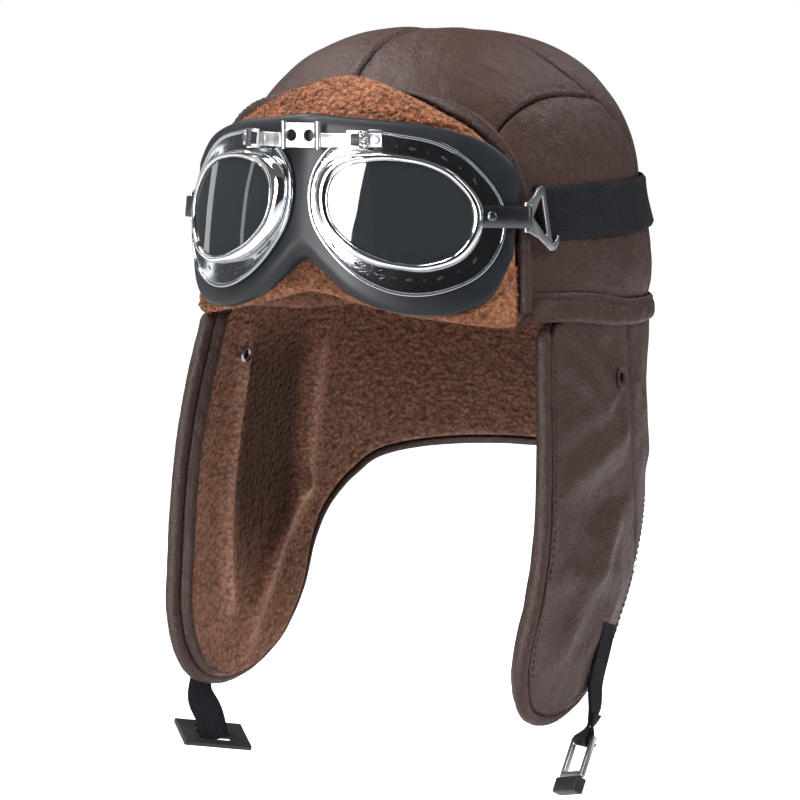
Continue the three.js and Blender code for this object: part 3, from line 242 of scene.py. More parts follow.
@dataclass
class HatForm:
    """The dome, the skirt below it and what is laid onto them, as the frame has them."""

    half: float = 96.0
    front: float = 107.0
    back: float = 125.5
    height: float = 135.5
    square: Pair = (2.2, 2.85)
    arch: Pair = (2.41, 2.9)
    lean: float = -0.01
    waists: tuple[Triple, ...] = ((54, 3, 17), (-2, 2, 14))
    blend: Pair = (-8, 14)
    skirt_rows: Table = Table("z half widest front behind square", [
        (30, 96, -10, 107, 134, 2.8), (0, 96.5, -20, 107, 146, 2.8), (-60, 102, -50, 110, 167, 2.9),
        (-100, 103.5, -65, 120, 179.5, 3), (-130, 101.6, -75, 130, 189, 3.2),
        (-155, 98.2, -78, 130, 187, 3.2), (-200, 93, -78, 130, 185, 3.2)])
    band_rows: Table = Table("deg low high", [
        (0, 2, 14), (57, 1, 14), (82, -2, 11), (111, -7, 5), (140, -9, 3), (180, -9, 3)])
    visor_rows: Table = Table("deg low high", [
        (0, 15, 113), (12, 10, 110), (24, 5, 103), (34, 2, 95), (41, 0, 88), (46, -1, 79), (49, -1, 69),
        (50, -1, 58)])

    def share(self, p: Array, off: Array | float = 0.0) -> Array:
        """How far points lie from the middle, as a share of the dome's own distance there."""
        x, deep, z = p[..., 0], p[..., 1], p[..., 2]
        back = 0.5 + 0.5 * deep / (np.hypot(x, deep) + 1e-6)
        arch, square = lerp(*self.arch, back), lerp(*self.square, back)
        y = deep - self.lean * z
        reach = np.where(y > 0, self.back, self.front) + off
        flat = (np.abs(x) / (self.half + off)) ** square + (np.abs(y) / reach) ** square
        return (flat ** (arch / square) + (np.abs(z) / (self.height + off)) ** arch) ** (1 / arch)

    def waist(self, p: Array) -> Array:
        """Depth of the dents that the goggle strap and the band press into the crown."""
        back = 0.5 + 0.5 * p[..., 1] / (np.hypot(p[..., 0], p[..., 1]) + 1e-6)
        depth = sum(d * hump(p[..., 2] - z, w) for z, d, w in self.waists)
        return depth * smoothstep(back, 0.25, 0.5)

    def on_dome(self, guide: Array, off: Array | float = 0.0) -> Array:
        """Guide points laid onto the dome along the lines from the origin."""
        first = guide / self.share(guide, off)[..., None]
        return first / self.share(first, off - self.waist(first))[..., None]

    def dome_at(self, deg: Array, z: Array, off: Array | float = 0.0) -> Array:
        """Points of the dome at angles from the front and heights."""
        deg, z, off = np.broadcast_arrays(np.asarray(deg, float), z, off)
        turn = np.radians(deg)
        low, high = np.zeros(deg.shape), np.full(deg.shape, FAR)
        for _ in range(HALVINGS):
            r = (low + high) / 2
            p = points(r * np.sin(turn), -r * np.cos(turn), z)
            inside = self.share(p, off - self.waist(p)) < 1
            low, high = np.where(inside, r, low), np.where(inside, high, r)
        return points(low * np.sin(turn), -low * np.cos(turn), z)

    def skirt(self, deg: Array, z: Array, off: Array | float = 0.0) -> Array:
        """Points of the skirt below the band, by angle about the section's widest level."""
        deg, z, off = np.broadcast_arrays(np.asarray(deg, float), z, off)
        s, c = np.sin(np.radians(deg)), np.cos(np.radians(deg))
        row = self.skirt_rows
        square = row("square", z)
        reach = np.where(c > 0, row("front", z), row("behind", z)) + off
        share = (np.abs(s) / (row("half", z) + off)) ** square + (np.abs(c) / reach) ** square
        r = share ** (-1 / square)
        return points(r * s, row("widest", z) - r * c, z)

    def skirt_angle(self, y: Array, z: Array) -> Array:
        """Angles of points of the skirt that are given in side view."""
        row = self.skirt_rows
        ahead = row("widest", z) - y
        reach = np.where(ahead > 0, row("front", z), row("behind", z))
        square = row("square", z)
        x = row("half", z) * (1 - (np.abs(ahead) / reach) ** square) ** (1 / square)
        return np.degrees(np.arctan2(x, ahead))

    def wall(self, deg: Array, z: Array, off: Array | float = 0.0) -> Array:
        """Points of the dome above the band and of the skirt below it, with a soft change between."""
        deg, z, off = np.broadcast_arrays(np.asarray(deg, float), z, off)
        share = smoothstep(z, *self.blend)
        result = self.skirt(deg, z, off)
        on = share > 0
        result[on] = lerp(result[on], self.dome_at(deg[on], z[on], off[on]), share[on][..., None])
        return result

    def wall_out(self, deg: Array, z: Array) -> Array:
        """Directions that the wall faces."""
        across = self.wall(deg + 1, z) - self.wall(deg - 1, z)
        up = self.wall(deg, z + 1) - self.wall(deg, z - 1)
        return unit(np.cross(across, up))

    def band(self, name: str, deg: Array) -> Array:
        """Lower or upper edge of the band at angles all round."""
        deg = np.asarray(deg, float) % 360
        return self.band_rows(name, np.minimum(deg, 360 - deg))


FORM = HatForm()


def coons(low: Callable, high: Callable, left: Callable, right: Callable) -> Patch:
    """Patch between four edges, each a function of a share from 0 to 1."""
    def patch(u: Array, v: Array) -> Array:
        """Points of the patch."""
        a, b = np.asarray(u, float)[..., None], np.asarray(v, float)[..., None]
        zero, one = np.zeros(np.shape(u)), np.ones(np.shape(u))
        corners = (low(zero) * (1 - a) * (1 - b) + low(one) * a * (1 - b)
                   + high(zero) * (1 - a) * b + high(one) * a * b)
        return left(v) * (1 - a) + right(v) * a + low(u) * (1 - b) + high(u) * b - corners
    return patch


def fitted(edge: Callable, start: Array, end: Array) -> Callable:
    """An edge whose ends are moved onto two given points."""
    first, last = edge(np.array(0.0)), edge(np.array(1.0))
    return lambda t: (edge(t) + (start - first) * (1 - np.asarray(t, float)[..., None])
                      + (end - last) * np.asarray(t, float)[..., None])


def backwards(edge: Callable) -> Callable:
    """The same edge run from its other end."""
    return lambda t: edge(1 - np.asarray(t, float))


# Meshes

def poured(work: bmesh.types.BMesh, name: str) -> bpy.types.Mesh:
    """New mesh of what has been worked on, which is freed."""
    mesh = bpy.data.meshes.new(name)
    work.to_mesh(mesh)
    work.free()
    return mesh


def placed(name: str, mesh: bpy.types.Mesh) -> Piece:
    """New object of the scene with that mesh."""
    piece = bpy.data.objects.new(name, mesh)
    bpy.context.scene.collection.objects.link(piece)
    return piece


def finish_mesh(name: str, mesh: bpy.types.Mesh, sharp_deg: float = 60.0) -> Piece:
    """Merges doubles, turns the faces out and puts the mesh in the scene.

    Args:
        name: The piece's name.
        mesh: The mesh, in metres.
        sharp_deg: The angle above which an edge stays sharp.

    Returns:
        The new object.
    """
    work = bmesh.new()
    work.from_mesh(mesh)
    bmesh.ops.remove_doubles(work, verts=work.verts, dist=TOUCHING)
    if any(face.calc_area() < NO_AREA for face in work.faces):
        bmesh.ops.dissolve_degenerate(work, dist=TOUCHING, edges=work.edges)
    bmesh.ops.recalc_face_normals(work, faces=work.faces)
    for face in work.faces:
        face.smooth = True
    work.to_mesh(mesh)
    work.free()
    mesh.set_sharp_from_angle(angle=math.radians(sharp_deg))
    return placed(name, mesh)


def place_vertices(mesh: bpy.types.Mesh, maker: Callable[[Array, Array, Array], Placed]) -> None:
    """Moves each vertex of a flat grid, which spans one unit about the origin, to where a maker says.

    Args:
        mesh: The grid; its x and y become u and v, and its z is the layer.
        maker: Gives points in millimetres and values to keep on the vertices.
    """
    flat = np.empty(len(mesh.vertices) * 3)
    mesh.vertices.foreach_get("co", flat)
    grid = flat.reshape(-1, 3)
    place, marks = maker(np.clip(grid[:, 0] + 0.5, 0, 1), np.clip(grid[:, 1] + 0.5, 0, 1), grid[:, 2].round())
    mesh.vertices.foreach_set("co", (place * MM).ravel())
    for key, value in marks.items():
        mesh.attributes.new(key, "FLOAT", "POINT").data.foreach_set("value", np.asarray(value, float))


def new_grid(columns: int, rows: int) -> bmesh.types.BMesh:
    """A flat unit grid with a UV map."""
    work = bmesh.new()
    work.loops.layers.uv.new("UVMap")
    bmesh.ops.create_grid(work, x_segments=columns, y_segments=rows, size=0.5, calc_uvs=True)
    return work


def scale_uv(mesh: bpy.types.Mesh, wide: float, high: float) -> None:
    """Gives the UV map the piece's real size, in millimetres."""
    layer = mesh.uv_layers[0].data
    flat = np.empty(len(layer) * 2)
    layer.foreach_get("uv", flat)
    layer.foreach_set("uv", (flat.reshape(-1, 2) * np.array([wide, high])).ravel())


def shell(name: str, columns: int, rows: int, outer: Face, inner: Face, bowl: bool = False,
          size: Pair = (1.0, 1.0)) -> Piece:
    """Closed body between two surfaces over one grid.

    Args:
        name: The piece's name.
        columns: Faces along u.
        rows: Faces along v.
        outer: Places the outer layer's points.
        inner: Places the inner layer's points.
        bowl: Whether u runs all round and v ends in a pole.
        size: Real width and height for the UV map, in millimetres.

    Returns:
        The new object.
    """
    work = new_grid(columns, rows)
    copy = bmesh.ops.duplicate(work, geom=work.verts[:] + work.edges[:] + work.faces[:])
    corners = [part for part in copy["geom"] if isinstance(part, bmesh.types.BMVert)]
    bmesh.ops.translate(work, vec=(0, 0, 1), verts=corners)
    rim = [e for e in work.edges if e.is_boundary and (not bowl or all(v.co.y < -0.4999 for v in e.verts))]
    bmesh.ops.bridge_loops(work, edges=rim)
    mesh = poured(work, "grid")

    def both(u: Array, v: Array, layer: Array) -> Placed:
        """Points of both layers."""
        out, marks = outer(u, v)
        under, deep = inner(u, v)
        first = layer < 0.5
        kept = {key: np.where(first, marks[key], deep.get(key, 0)) for key in marks}
        return np.where(first[:, None], out, under), kept
    place_vertices(mesh, both)
    scale_uv(mesh, *size)
    return finish_mesh(name, mesh)


def loft(name: str, rings: Array, hoop: bool, length: float = 1.0, girth: float = 1.0,
         sharp_deg: float = 60.0) -> Piece:
    """Body that joins rings of points: a closed hoop, or a bar with flat ends.

    Args:
        name: The piece's name.
        rings: Points in millimetres, by ring and by place in the ring.
        hoop: Whether the last ring joins the first.
        length: Real length for the UV map, in millimetres.
        girth: Real girth for the UV map, in millimetres.
        sharp_deg: The angle above which an edge stays sharp.

    Returns:
        The new object.
    """
    count, sides = rings.shape[:2]
    columns = count if hoop else count - 1
    mesh = poured(new_grid(columns, sides), "grid")

    def ring_points(u: Array, v: Array, _: Array) -> Placed:
        """Points of the rings at the grid's corners."""
        i, k = np.rint(u * columns).astype(int) % count, np.rint(v * sides).astype(int) % sides
        return rings[i, k], {}
    place_vertices(mesh, ring_points)
    scale_uv(mesh, length, girth)
    work = bmesh.new()
    work.from_mesh(mesh)
    bmesh.ops.remove_doubles(work, verts=work.verts, dist=TOUCHING)
    if not hoop:
        bmesh.ops.holes_fill(work, edges=[e for e in work.edges if e.is_boundary], sides=0)
    work.to_mesh(mesh)
    work.free()
    return finish_mesh(name, mesh, sharp_deg)


def tube_rings(path: Array, radius: Array | float, sides: int, up: Array) -> Array:
    """Rings round paths.

    Args:
        path: Points in millimetres, one row along each path.
        radius: Radius at each point.
        sides: Points in a ring.
        up: A direction at each point that is roughly square to the path.

    Returns:
        The rings' points, with one more axis for the place in the ring.
    """
    run = unit(np.gradient(path, axis=-2))
    across = unit(np.cross(run, up))
    lift = np.cross(across, run)
    turn = 2 * math.pi * np.arange(sides) / sides
    wide = np.broadcast_to(np.asarray(radius, float), path.shape[:-1])[..., None, None]
    return (path[..., None, :] + wide * (np.cos(turn)[:, None] * across[..., None, :]
                                         + np.sin(turn)[:, None] * lift[..., None, :]))


def strands(name: str, paths: Array, radius: Array, sides: int, up: Array, tint: Array) -> Piece:
    """Many short round strands in one mesh.

    Args:
        name: The piece's name.
        paths: Points in millimetres, by strand and along it.
        radius: Radius at each point; 0 at a strand's ends closes it.
        sides: Faces round a strand.
        up: A direction at each point.
        tint: A value of each strand, kept as the attribute "tint".

    Returns:
        The new object.
    """
    rings = tube_rings(paths, radius, sides, up)
    count, steps = paths.shape[:2]
    columns = count * steps - 1
    work = new_grid(columns, sides)
    between = [f for f in work.faces if int((f.calc_center_median().x + 0.5) * columns) % steps == steps - 1]
    bmesh.ops.delete(work, geom=between, context="FACES")
    mesh = poured(work, "grid")

    def strand_points(u: Array, v: Array, _: Array) -> Placed:
        """Points of the strands at the grid's corners."""
        i, k = np.rint(u * columns).astype(int), np.rint(v * sides).astype(int) % sides
        return rings[i // steps, i % steps, k], {"tint": tint[i // steps]}
    place_vertices(mesh, strand_points)
    return finish_mesh(name, mesh)


def merged_copy(name: str, node: str, bevel: float, segments: int) -> Piece:
    """Copy of a hard node with its doubles merged and its edges rounded.

    Args:
        name: The new piece's name.
        node: The node that is copied.
        bevel: Width of the rounded edges, in millimetres.
        segments: Faces across a rounded edge.

    Returns:
        The new object.
    """
    merging, flat_deg, sharp_deg = 1e-6, 2, 30
    work = bmesh.new()
    work.from_mesh(frame["nodes"][node].data)
    bmesh.ops.remove_doubles(work, verts=work.verts, dist=merging)
    bmesh.ops.dissolve_limit(work, angle_limit=math.radians(flat_deg), verts=work.verts, edges=work.edges)
    bmesh.ops.recalc_face_normals(work, faces=work.faces)
    edges = [e for e in work.edges if e.is_manifold and e.calc_face_angle() > math.radians(sharp_deg)]
    bmesh.ops.bevel(work, geom=edges, offset=bevel * MM, segments=segments, affect="EDGES", profile=0.5,
                    material=-1, offset_type="OFFSET", clamp_overlap=True)
    bmesh.ops.triangulate(work, faces=[f for f in work.faces if len(f.verts) > 4])
    return finish_mesh(name, poured(work, name), 40)


def turned(name: str, profile: Sequence[Pair], place: Array, direction: Array,
           steps: int = 40) -> Piece:
    """Body turned about an axis.

    Args:
        name: The piece's name.
        profile: Pairs of radius and height in millimetres; a radius of 0 is on the axis.
        place: Where the profile's height 0 is.
        direction: The axis's direction.
        steps: Faces round the body.

    Returns:
        The new object.
    """
    work = bmesh.new()
    corners = [work.verts.new((r, 0, h)) for r, h in profile]
    closing = corners[:1] if profile[0][0] > 0 else []
    edges = [work.edges.new(pair) for pair in zip(corners, corners[1:] + closing)]
    bmesh.ops.spin(work, geom=corners + edges, axis=(0, 0, 1), cent=(0, 0, 0), angle=2 * math.pi,
                   steps=steps, use_merge=True, use_duplicate=False)
    turn = Vector((0, 0, 1)).rotation_difference(Vector(direction)).to_matrix()
    bmesh.ops.rotate(work, cent=(0, 0, 0), matrix=turn, verts=work.verts)
    bmesh.ops.translate(work, vec=Vector(place), verts=work.verts)
    bmesh.ops.scale(work, vec=(MM, MM, MM), verts=work.verts)
    return finish_mesh(name, poured(work, name), 35)


def settle(piece: Piece, finish: Material, slot: str, *nodes: str) -> None:
    """Dresses a piece, hangs it on the root body and hides the nodes that it stands for."""
    piece.data.materials.clear()
    piece.data.materials.append(finish)
    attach(piece, "root")
    if nodes:
        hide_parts(*nodes)
    LOG.info("%s: %d triangles", piece.name, sum(len(p.vertices) - 2 for p in piece.data.polygons))


# Finishes

Colour = Triple


class Effect(Enum):
    """Effects that several finishes share, each a node group."""

    GRAIN = "hide_grain"
    UNEVEN = "uneven_colour"
    WEAVE = "narrow_weave"
    HANDLED = "handling_marks"


class Nodes:
    """Writes nodes into a material's or a group's tree."""

    def __init__(self, tree: bpy.types.NodeTree) -> None:
        """Keeps the tree."""
        self.tree = tree

    def add(self, kind: str, **settings: object) -> bpy.types.Node:
        """A new node with some of its settings."""
        node = self.tree.nodes.new(kind)
        for key, value in settings.items():
            setattr(node, key, value)
        return node

    def feed(self, node: bpy.types.Node, inputs: dict[str | int, object]) -> None:
        """Links inputs of a node, given by name or number, to other sockets, or sets their values."""
        for key, value in inputs.items():
            if isinstance(value, Socket):
                self.tree.links.new(value, node.inputs[key])
            else:
                node.inputs[key].default_value = value

    def math(self, operation: str, a: object, b: object = 0.0, clamp: bool = False) -> Socket:
        """Result of one operation on two numbers."""
        node = self.add("ShaderNodeMath", operation=operation, use_clamp=clamp)
        self.feed(node, {0: a, 1: b})
        return node.outputs[0]

    def times(self, a: object, b: object) -> Socket:
        """Product of two numbers."""
        return self.math("MULTIPLY", a, b)

    def plus(self, a: object, b: object) -> Socket:
        """Sum of two numbers."""
        return self.math("ADD", a, b)

    def rest(self, a: object) -> Socket:
        """What a number lacks to 1."""
        return self.math("SUBTRACT", 1.0, a)

    def noise(self, vector: object, scale: object, detail: float = 3.0, rough: float = 0.5) -> Socket:
        """Noise from 0 to 1."""
        node = self.add("ShaderNodeTexNoise")
        self.feed(node, {"Vector": vector, "Scale": scale, "Detail": detail, "Roughness": rough})
        return node.outputs["Fac"]

    def warped(self, vector: Socket, scale: object, reach: float) -> Socket:
        """Coordinates that noise shifts about, by up to a reach in metres."""
        ripple = self.add("ShaderNodeTexNoise")
        self.feed(ripple, {"Vector": vector, "Scale": scale})
        warp = self.add("ShaderNodeVectorMath", operation="MULTIPLY_ADD")
        self.feed(warp, {0: ripple.outputs["Color"], 1: (reach, reach, reach), 2: vector})
        return warp.outputs[0]

    def cells(self, vector: object, scale: object, feature: str = "F1") -> Socket:
        """Distance inside round cells."""
        node = self.add("ShaderNodeTexVoronoi", feature=feature)
        self.feed(node, {"Vector": vector, "Scale": scale})
        return node.outputs["Distance"]

    def span(self, value: object, low: float, high: float, to_low: object = 0.0,
             to_high: float = 1.0) -> Socket:
        """A number moved from one range to another and held inside it."""
        node = self.add("ShaderNodeMapRange", clamp=True)
        self.feed(node, {"Value": value, "From Min": low, "From Max": high, "To Min": to_low,
                         "To Max": to_high})
        return node.outputs[0]

    def blend(self, share: object, a: Socket | Colour, b: Socket | Colour) -> Socket:
        """Mix of two colours."""
        node = self.add("ShaderNodeMix", data_type="RGBA", clamp_factor=True)
        a, b = (colour if isinstance(colour, Socket) else (*colour, 1.0) for colour in (a, b))
        self.feed(node, {"Factor": share, 6: a, 7: b})
        return node.outputs[2]

    def objects(self) -> Socket:
        """Coordinates of the piece, in metres."""
        return self.add("ShaderNodeTexCoord").outputs["Object"]

    def kept(self, name: str) -> Socket:
        """A value kept on the piece's points."""
        return self.add("ShaderNodeAttribute", attribute_type="GEOMETRY", attribute_name=name).outputs["Fac"]

    def bump(self, height: object, depth: float, strength: float = 1.0, under: Socket | None = None) -> Socket:
        """Normals of a relief, depth in metres."""
        node = self.add("ShaderNodeBump")
        below = {} if under is None else {"Normal": under}
        self.feed(node, {"Strength": strength, "Distance": depth, "Height": height, **below})
        return node.outputs["Normal"]

    def effect(self, kind: Effect, vector: Socket, *values: float) -> bpy.types.NodeOutputs:
        """Outputs of a shared effect that is placed with its own values."""
        node = self.add("ShaderNodeGroup", node_tree=bpy.data.node_groups[kind.value])
        self.feed(node, dict(enumerate([vector, *values])))
        return node.outputs


def new_group(kind: Effect, numbers: Sequence[str], outputs: Sequence[str]
              ) -> tuple[Nodes, list[Socket], bpy.types.Node]:
    """Empty node group that takes a vector and some numbers.

    Args:
        kind: Which effect it is.
        numbers: Names of the numbers.
        outputs: Names of the outputs, which are numbers too.

    Returns:
        The group's nodes, its inputs as sockets, and its output node.
    """
    tree = bpy.data.node_groups.new(kind.value, "ShaderNodeTree")
    sockets = [("Vector", "INPUT", "Vector")] + [(label, "INPUT", "Float") for label in numbers]
    for label, way, sort in sockets + [(label, "OUTPUT", "Float") for label in outputs]:
        tree.interface.new_socket(name=label, in_out=way, socket_type=f"NodeSocket{sort}")
    nodes = Nodes(tree)
    return nodes, nodes.add("NodeGroupInput").outputs[:len(sockets)], nodes.add("NodeGroupOutput")


def grain_group() -> None:
    """Pebbled grain of leather: rounded pebbles of two sizes with fine creases between them."""
    nodes, (where, scale), result = new_group(Effect.GRAIN, ["Pebbles per metre"], ["Height", "Crease"])
    warp = nodes.warped(where, nodes.times(scale, 0.6), 0.0006)
    large = nodes.cells(warp, scale, "SMOOTH_F1")
    small = nodes.cells(warp, nodes.times(scale, 2.1))
    edge = nodes.cells(warp, scale, "DISTANCE_TO_EDGE")
    fine = nodes.noise(where, nodes.times(scale, 4.0), 2.0)
    body = nodes.plus(nodes.times(nodes.rest(large), 0.55), nodes.times(nodes.rest(small), 0.3))
    nodes.feed(result, {"Height": nodes.plus(body, nodes.times(fine, 0.2)),
                        "Crease": nodes.span(edge, 0.0, 0.12, 1.0, 0.0)})


def uneven_group() -> None:
    """Clouds of darker and lighter colour, broad and fine."""
    nodes, (where, scale), result = new_group(Effect.UNEVEN, ["Clouds per metre"], ["Broad", "Fine"])
    broad, fine = nodes.noise(where, scale, 4.0, 0.6), nodes.noise(where, nodes.times(scale, 9.0), 3.0, 0.6)
    nodes.feed(result, {"Broad": nodes.span(broad, 0.3, 0.7), "Fine": nodes.span(fine, 0.3, 0.7)})


def weave_group() -> None:
    """Narrow woven band: ribs along it, crossed by picks, from a UV map in millimetres."""
    nodes, sockets, result = new_group(Effect.WEAVE, ["Rib width", "Pick length"], ["Height", "Shade"])
    where, wide, long = sockets
    split = nodes.add("ShaderNodeSeparateXYZ")
    nodes.feed(split, {0: where})
    across, along = (nodes.times(nodes.math("DIVIDE", split.outputs[axis], size), math.tau)
                     for axis, size in ((1, wide), (0, long)))
    rib = nodes.math("ABSOLUTE", nodes.math("SINE", nodes.times(across, 0.5)))
    row = nodes.math("FLOOR", nodes.math("DIVIDE", across, math.tau))
    wave = nodes.math("SINE", nodes.plus(along, nodes.times(row, math.pi)))
    pick = nodes.times(nodes.plus(wave, 1.0), 0.5)
    height = nodes.plus(nodes.times(rib, 0.7), nodes.times(pick, 0.3))
    nodes.feed(result, {"Height": height, "Shade": nodes.span(height, 0.15, 0.85)})


def handled_group() -> None:
    """Faint smudges and fine scratches of a handled smooth surface."""
    nodes, (where, scale), result = new_group(Effect.HANDLED, ["Marks per metre"], ["Smudge", "Scratch"])
    stretch = nodes.add("ShaderNodeMapping")
    nodes.feed(stretch, {"Scale": (1.0, 1.0, 14.0), "Vector": where})
    smudge = nodes.noise(where, scale, 5.0, 0.6)
    line = nodes.noise(stretch.outputs[0], nodes.times(scale, 5.0), 4.0, 0.7)
    nodes.feed(result, {"Smudge": nodes.span(smudge, 0.4, 0.75), "Scratch": nodes.span(line, 0.6, 0.72)})


def new_material(name: str) -> tuple[Material, Nodes, bpy.types.Node]:
    """Material with a plain Principled shader, its nodes and that shader."""
    material = bpy.data.materials.new(name)
    material.use_nodes = True
    return material, Nodes(material.node_tree), material.node_tree.nodes["Principled BSDF"]


def shaded(colour: Colour, share: float) -> Colour:
    """The colour made darker or lighter."""
    return tuple(share * part for part in colour)


@dataclass(frozen=True)
class Finish:
    """Look of a material, which each kind of finish wires in its own way."""

    name: str

    def wire(self, nodes: Nodes, where: Socket) -> dict[str, object]:
        """What goes into the shader, from the piece's coordinates."""
        raise NotImplementedError

    def make(self) -> Material:
        """The material."""
        material, nodes, shader = new_material(self.name)
        nodes.feed(shader, self.wire(nodes, nodes.objects()))
        return material


@dataclass(frozen=True)
class Leather(Finish):
    """Fine-grained leather with darker seams and a soft sheen."""

    light: Colour = (0.08, 0.036, 0.028)
    dark: Colour = (0.028, 0.0135, 0.011)
    worn: Colour = (0.14, 0.08, 0.066)
    seam: Colour = (0.012, 0.008, 0.007)
    roughness: float = 0.35
    pebbles: float = 800.0
    clouds: float = 22.0
    depth: float = 0.0006

    def wire(self, nodes: Nodes, where: Socket) -> dict[str, object]:
        """Grain over soft dents, with clouds, worn spots and dark seams."""
        grain = nodes.effect(Effect.GRAIN, where, self.pebbles)
        cloud = nodes.effect(Effect.UNEVEN, where, self.clouds)
        colour = nodes.blend(nodes.span(cloud["Broad"], 0, 1, 0.2, 0.55), self.light, self.dark)
        colour = nodes.blend(nodes.times(cloud["Fine"], 0.22), colour, self.worn)
        colour = nodes.blend(nodes.times(grain["Crease"], 0.55), colour, self.dark)
        colour = nodes.blend(nodes.span(nodes.kept("seam"), 0.25, 1.0, 0.0, 0.85), colour, self.seam)
        rough = nodes.span(cloud["Fine"], 0, 1, self.roughness - 0.05, self.roughness + 0.09)
        crumple = nodes.bump(nodes.noise(where, 60.0, 2.0), 0.004, 0.6)
        broad = nodes.bump(nodes.noise(where, 170.0, 2.0), 0.0012, 0.7, crumple)
        return {"Base Color": colour, "Specular IOR Level": 0.3,
                "Roughness": nodes.math("ADD", rough, nodes.times(grain["Crease"], 0.2), clamp=True),
                "Normal": nodes.bump(grain["Height"], self.depth, 0.9, broad)}


@dataclass(frozen=True)
class Fleece(Finish):
    """Curly pile with painted shade and light: dark in the gaps between the curls, lighter on their tops."""

    # deep is painted shade between the curls and tip painted light on their tops; body is the pile's own
    # colour
    deep: Colour = (0.13, 0.045, 0.022)
    body: Colour = (0.47, 0.175, 0.085)
    tip: Colour = (0.64, 0.285, 0.155)
    sheen: Colour = (0.95, 0.62, 0.45)
    curls: float = 430.0

    def wire(self, nodes: Nodes, where: Socket) -> dict[str, object]:
        """Round curls with fibres on them."""
        cloud, pile = nodes.effect(Effect.UNEVEN, where, 45.0), nodes.kept("tint")
        gap = nodes.cells(nodes.warped(where, 500.0, 0.0016), self.curls)
        # The kept pile value and the gaps between the round cells darken towards deep as painted shade and
        # lighten towards tip as painted light; the fine clouds add random tone
        colour = nodes.blend(nodes.span(pile, 0.1, 0.55), self.deep, self.body)
        colour = nodes.blend(nodes.span(pile, 0.5, 1.0), colour, self.tip)
        for share in (nodes.span(gap, 0.15, 0.95, 0.0, 0.6), nodes.times(cloud["Fine"], 0.2)):
            colour = nodes.blend(share, colour, self.deep)
        curl = nodes.bump(nodes.rest(nodes.math("POWER", gap, 2.0)), 0.0012)
        clump = nodes.bump(nodes.noise(where, 750.0, 2.0), 0.0005, 0.7, curl)
        return {"Base Color": colour, "Roughness": nodes.span(cloud["Broad"], 0, 1, 0.85, 1.0),
                "Normal": nodes.bump(nodes.noise(where, 2200.0, 3.0, 0.7), 0.00018, 0.8, clump),
                "Sheen Weight": 0.25, "Sheen Roughness": 0.6, "Sheen Tint": (*self.sheen, 1),
                "Specular IOR Level": 0.2}


@dataclass(frozen=True)
class Metal(Finish):
    """Bare or plated metal with faint marks of handling."""

    colour: Colour
    roughness: float
    marks: float = 0.06
    scratch: float = 0.00002

    def wire(self, nodes: Nodes, where: Socket) -> dict[str, object]:
        """Smudges and scratches on bare metal."""
        marks = nodes.effect(Effect.HANDLED, where, 70.0)
        fine = nodes.span(marks["Scratch"], 0, 1, self.roughness, self.roughness + self.marks)
        colour = nodes.blend(nodes.times(marks["Smudge"], 0.6), self.colour, shaded(self.colour, 0.82))
        return {"Base Color": colour,
                "Roughness": nodes.plus(nodes.times(marks["Smudge"], self.marks), fine),
                "Normal": nodes.bump(marks["Scratch"], self.scratch, 0.4), "Metallic": 1.0}


@dataclass(frozen=True)
class Moulded(Finish):
    """Moulded rubber or plastic: satin, faintly stippled, dusty in places."""

    colour: Colour
    dusty: Colour
    roughness: float
    stipple: float = 0.00006

    def wire(self, nodes: Nodes, where: Socket) -> dict[str, object]:
        """Stippled skin with dust and smudges."""
        marks, cloud = nodes.effect(Effect.HANDLED, where, 40.0), nodes.effect(Effect.UNEVEN, where, 30.0)
        return {"Base Color": nodes.blend(nodes.times(cloud["Broad"], 0.5), self.colour, self.dusty),
                "Roughness": nodes.span(marks["Smudge"], 0, 1, self.roughness - 0.05, self.roughness + 0.1),
                "Normal": nodes.bump(nodes.noise(where, 1500.0, 2.0), self.stipple, 0.7),
                "Specular IOR Level": 0.35}


@dataclass(frozen=True)
class Glass(Finish):
    """Smoked glass: nearly black, clear and polished."""

    colour: Colour = (0.05, 0.058, 0.066)
    clear: float = 0.35
    bending: float = 1.58

    def wire(self, nodes: Nodes, where: Socket) -> dict[str, object]:
        """Faint smudges on dark glass."""
        smudge = nodes.effect(Effect.HANDLED, where, 30.0)["Smudge"]
        return {"Base Color": nodes.blend(nodes.times(smudge, 0.3), self.colour, shaded(self.colour, 1.5)),
                "Roughness": nodes.span(smudge, 0, 1, 0.01, 0.04),
                "Transmission Weight": self.clear, "IOR": self.bending}


@dataclass(frozen=True)
class Webbing(Finish):
    """Woven elastic or tape with ribs along it."""

    thread: Colour = (0.012, 0.014, 0.018)
    gap: Colour = (0.003, 0.0035, 0.005)
    rib: float = 1.25
    pick: float = 1.0

    def wire(self, nodes: Nodes, where: Socket) -> dict[str, object]:
        """Weave with worn spots."""
        uv = nodes.add("ShaderNodeUVMap", uv_map="UVMap").outputs[0]
        weave = nodes.effect(Effect.WEAVE, uv, self.rib, self.pick)
        cloud = nodes.effect(Effect.UNEVEN, where, 60.0)
        colour = nodes.blend(weave["Shade"], self.gap, self.thread)
        return {"Base Color": nodes.blend(nodes.times(cloud["Fine"], 0.4), colour, shaded(self.thread, 1.8)),
                "Roughness": nodes.span(cloud["Broad"], 0, 1, 0.7, 0.9),
                "Normal": nodes.bump(weave["Height"], 0.0004, 0.9), "Specular IOR Level": 0.2}


@dataclass(frozen=True)
class Thread(Finish):
    """Twisted sewing thread."""

    colour: Colour

    def wire(self, nodes: Nodes, where: Socket) -> dict[str, object]:
        """Fine twist in light and dark."""
        twist = nodes.noise(where, 3200.0, 2.0, 0.6)
        return {"Base Color": nodes.blend(twist, shaded(self.colour, 0.55), shaded(self.colour, 1.3)),
                "Roughness": nodes.span(twist, 0, 1, 0.5, 0.75), "Normal": nodes.bump(twist, 0.0002, 0.8)}


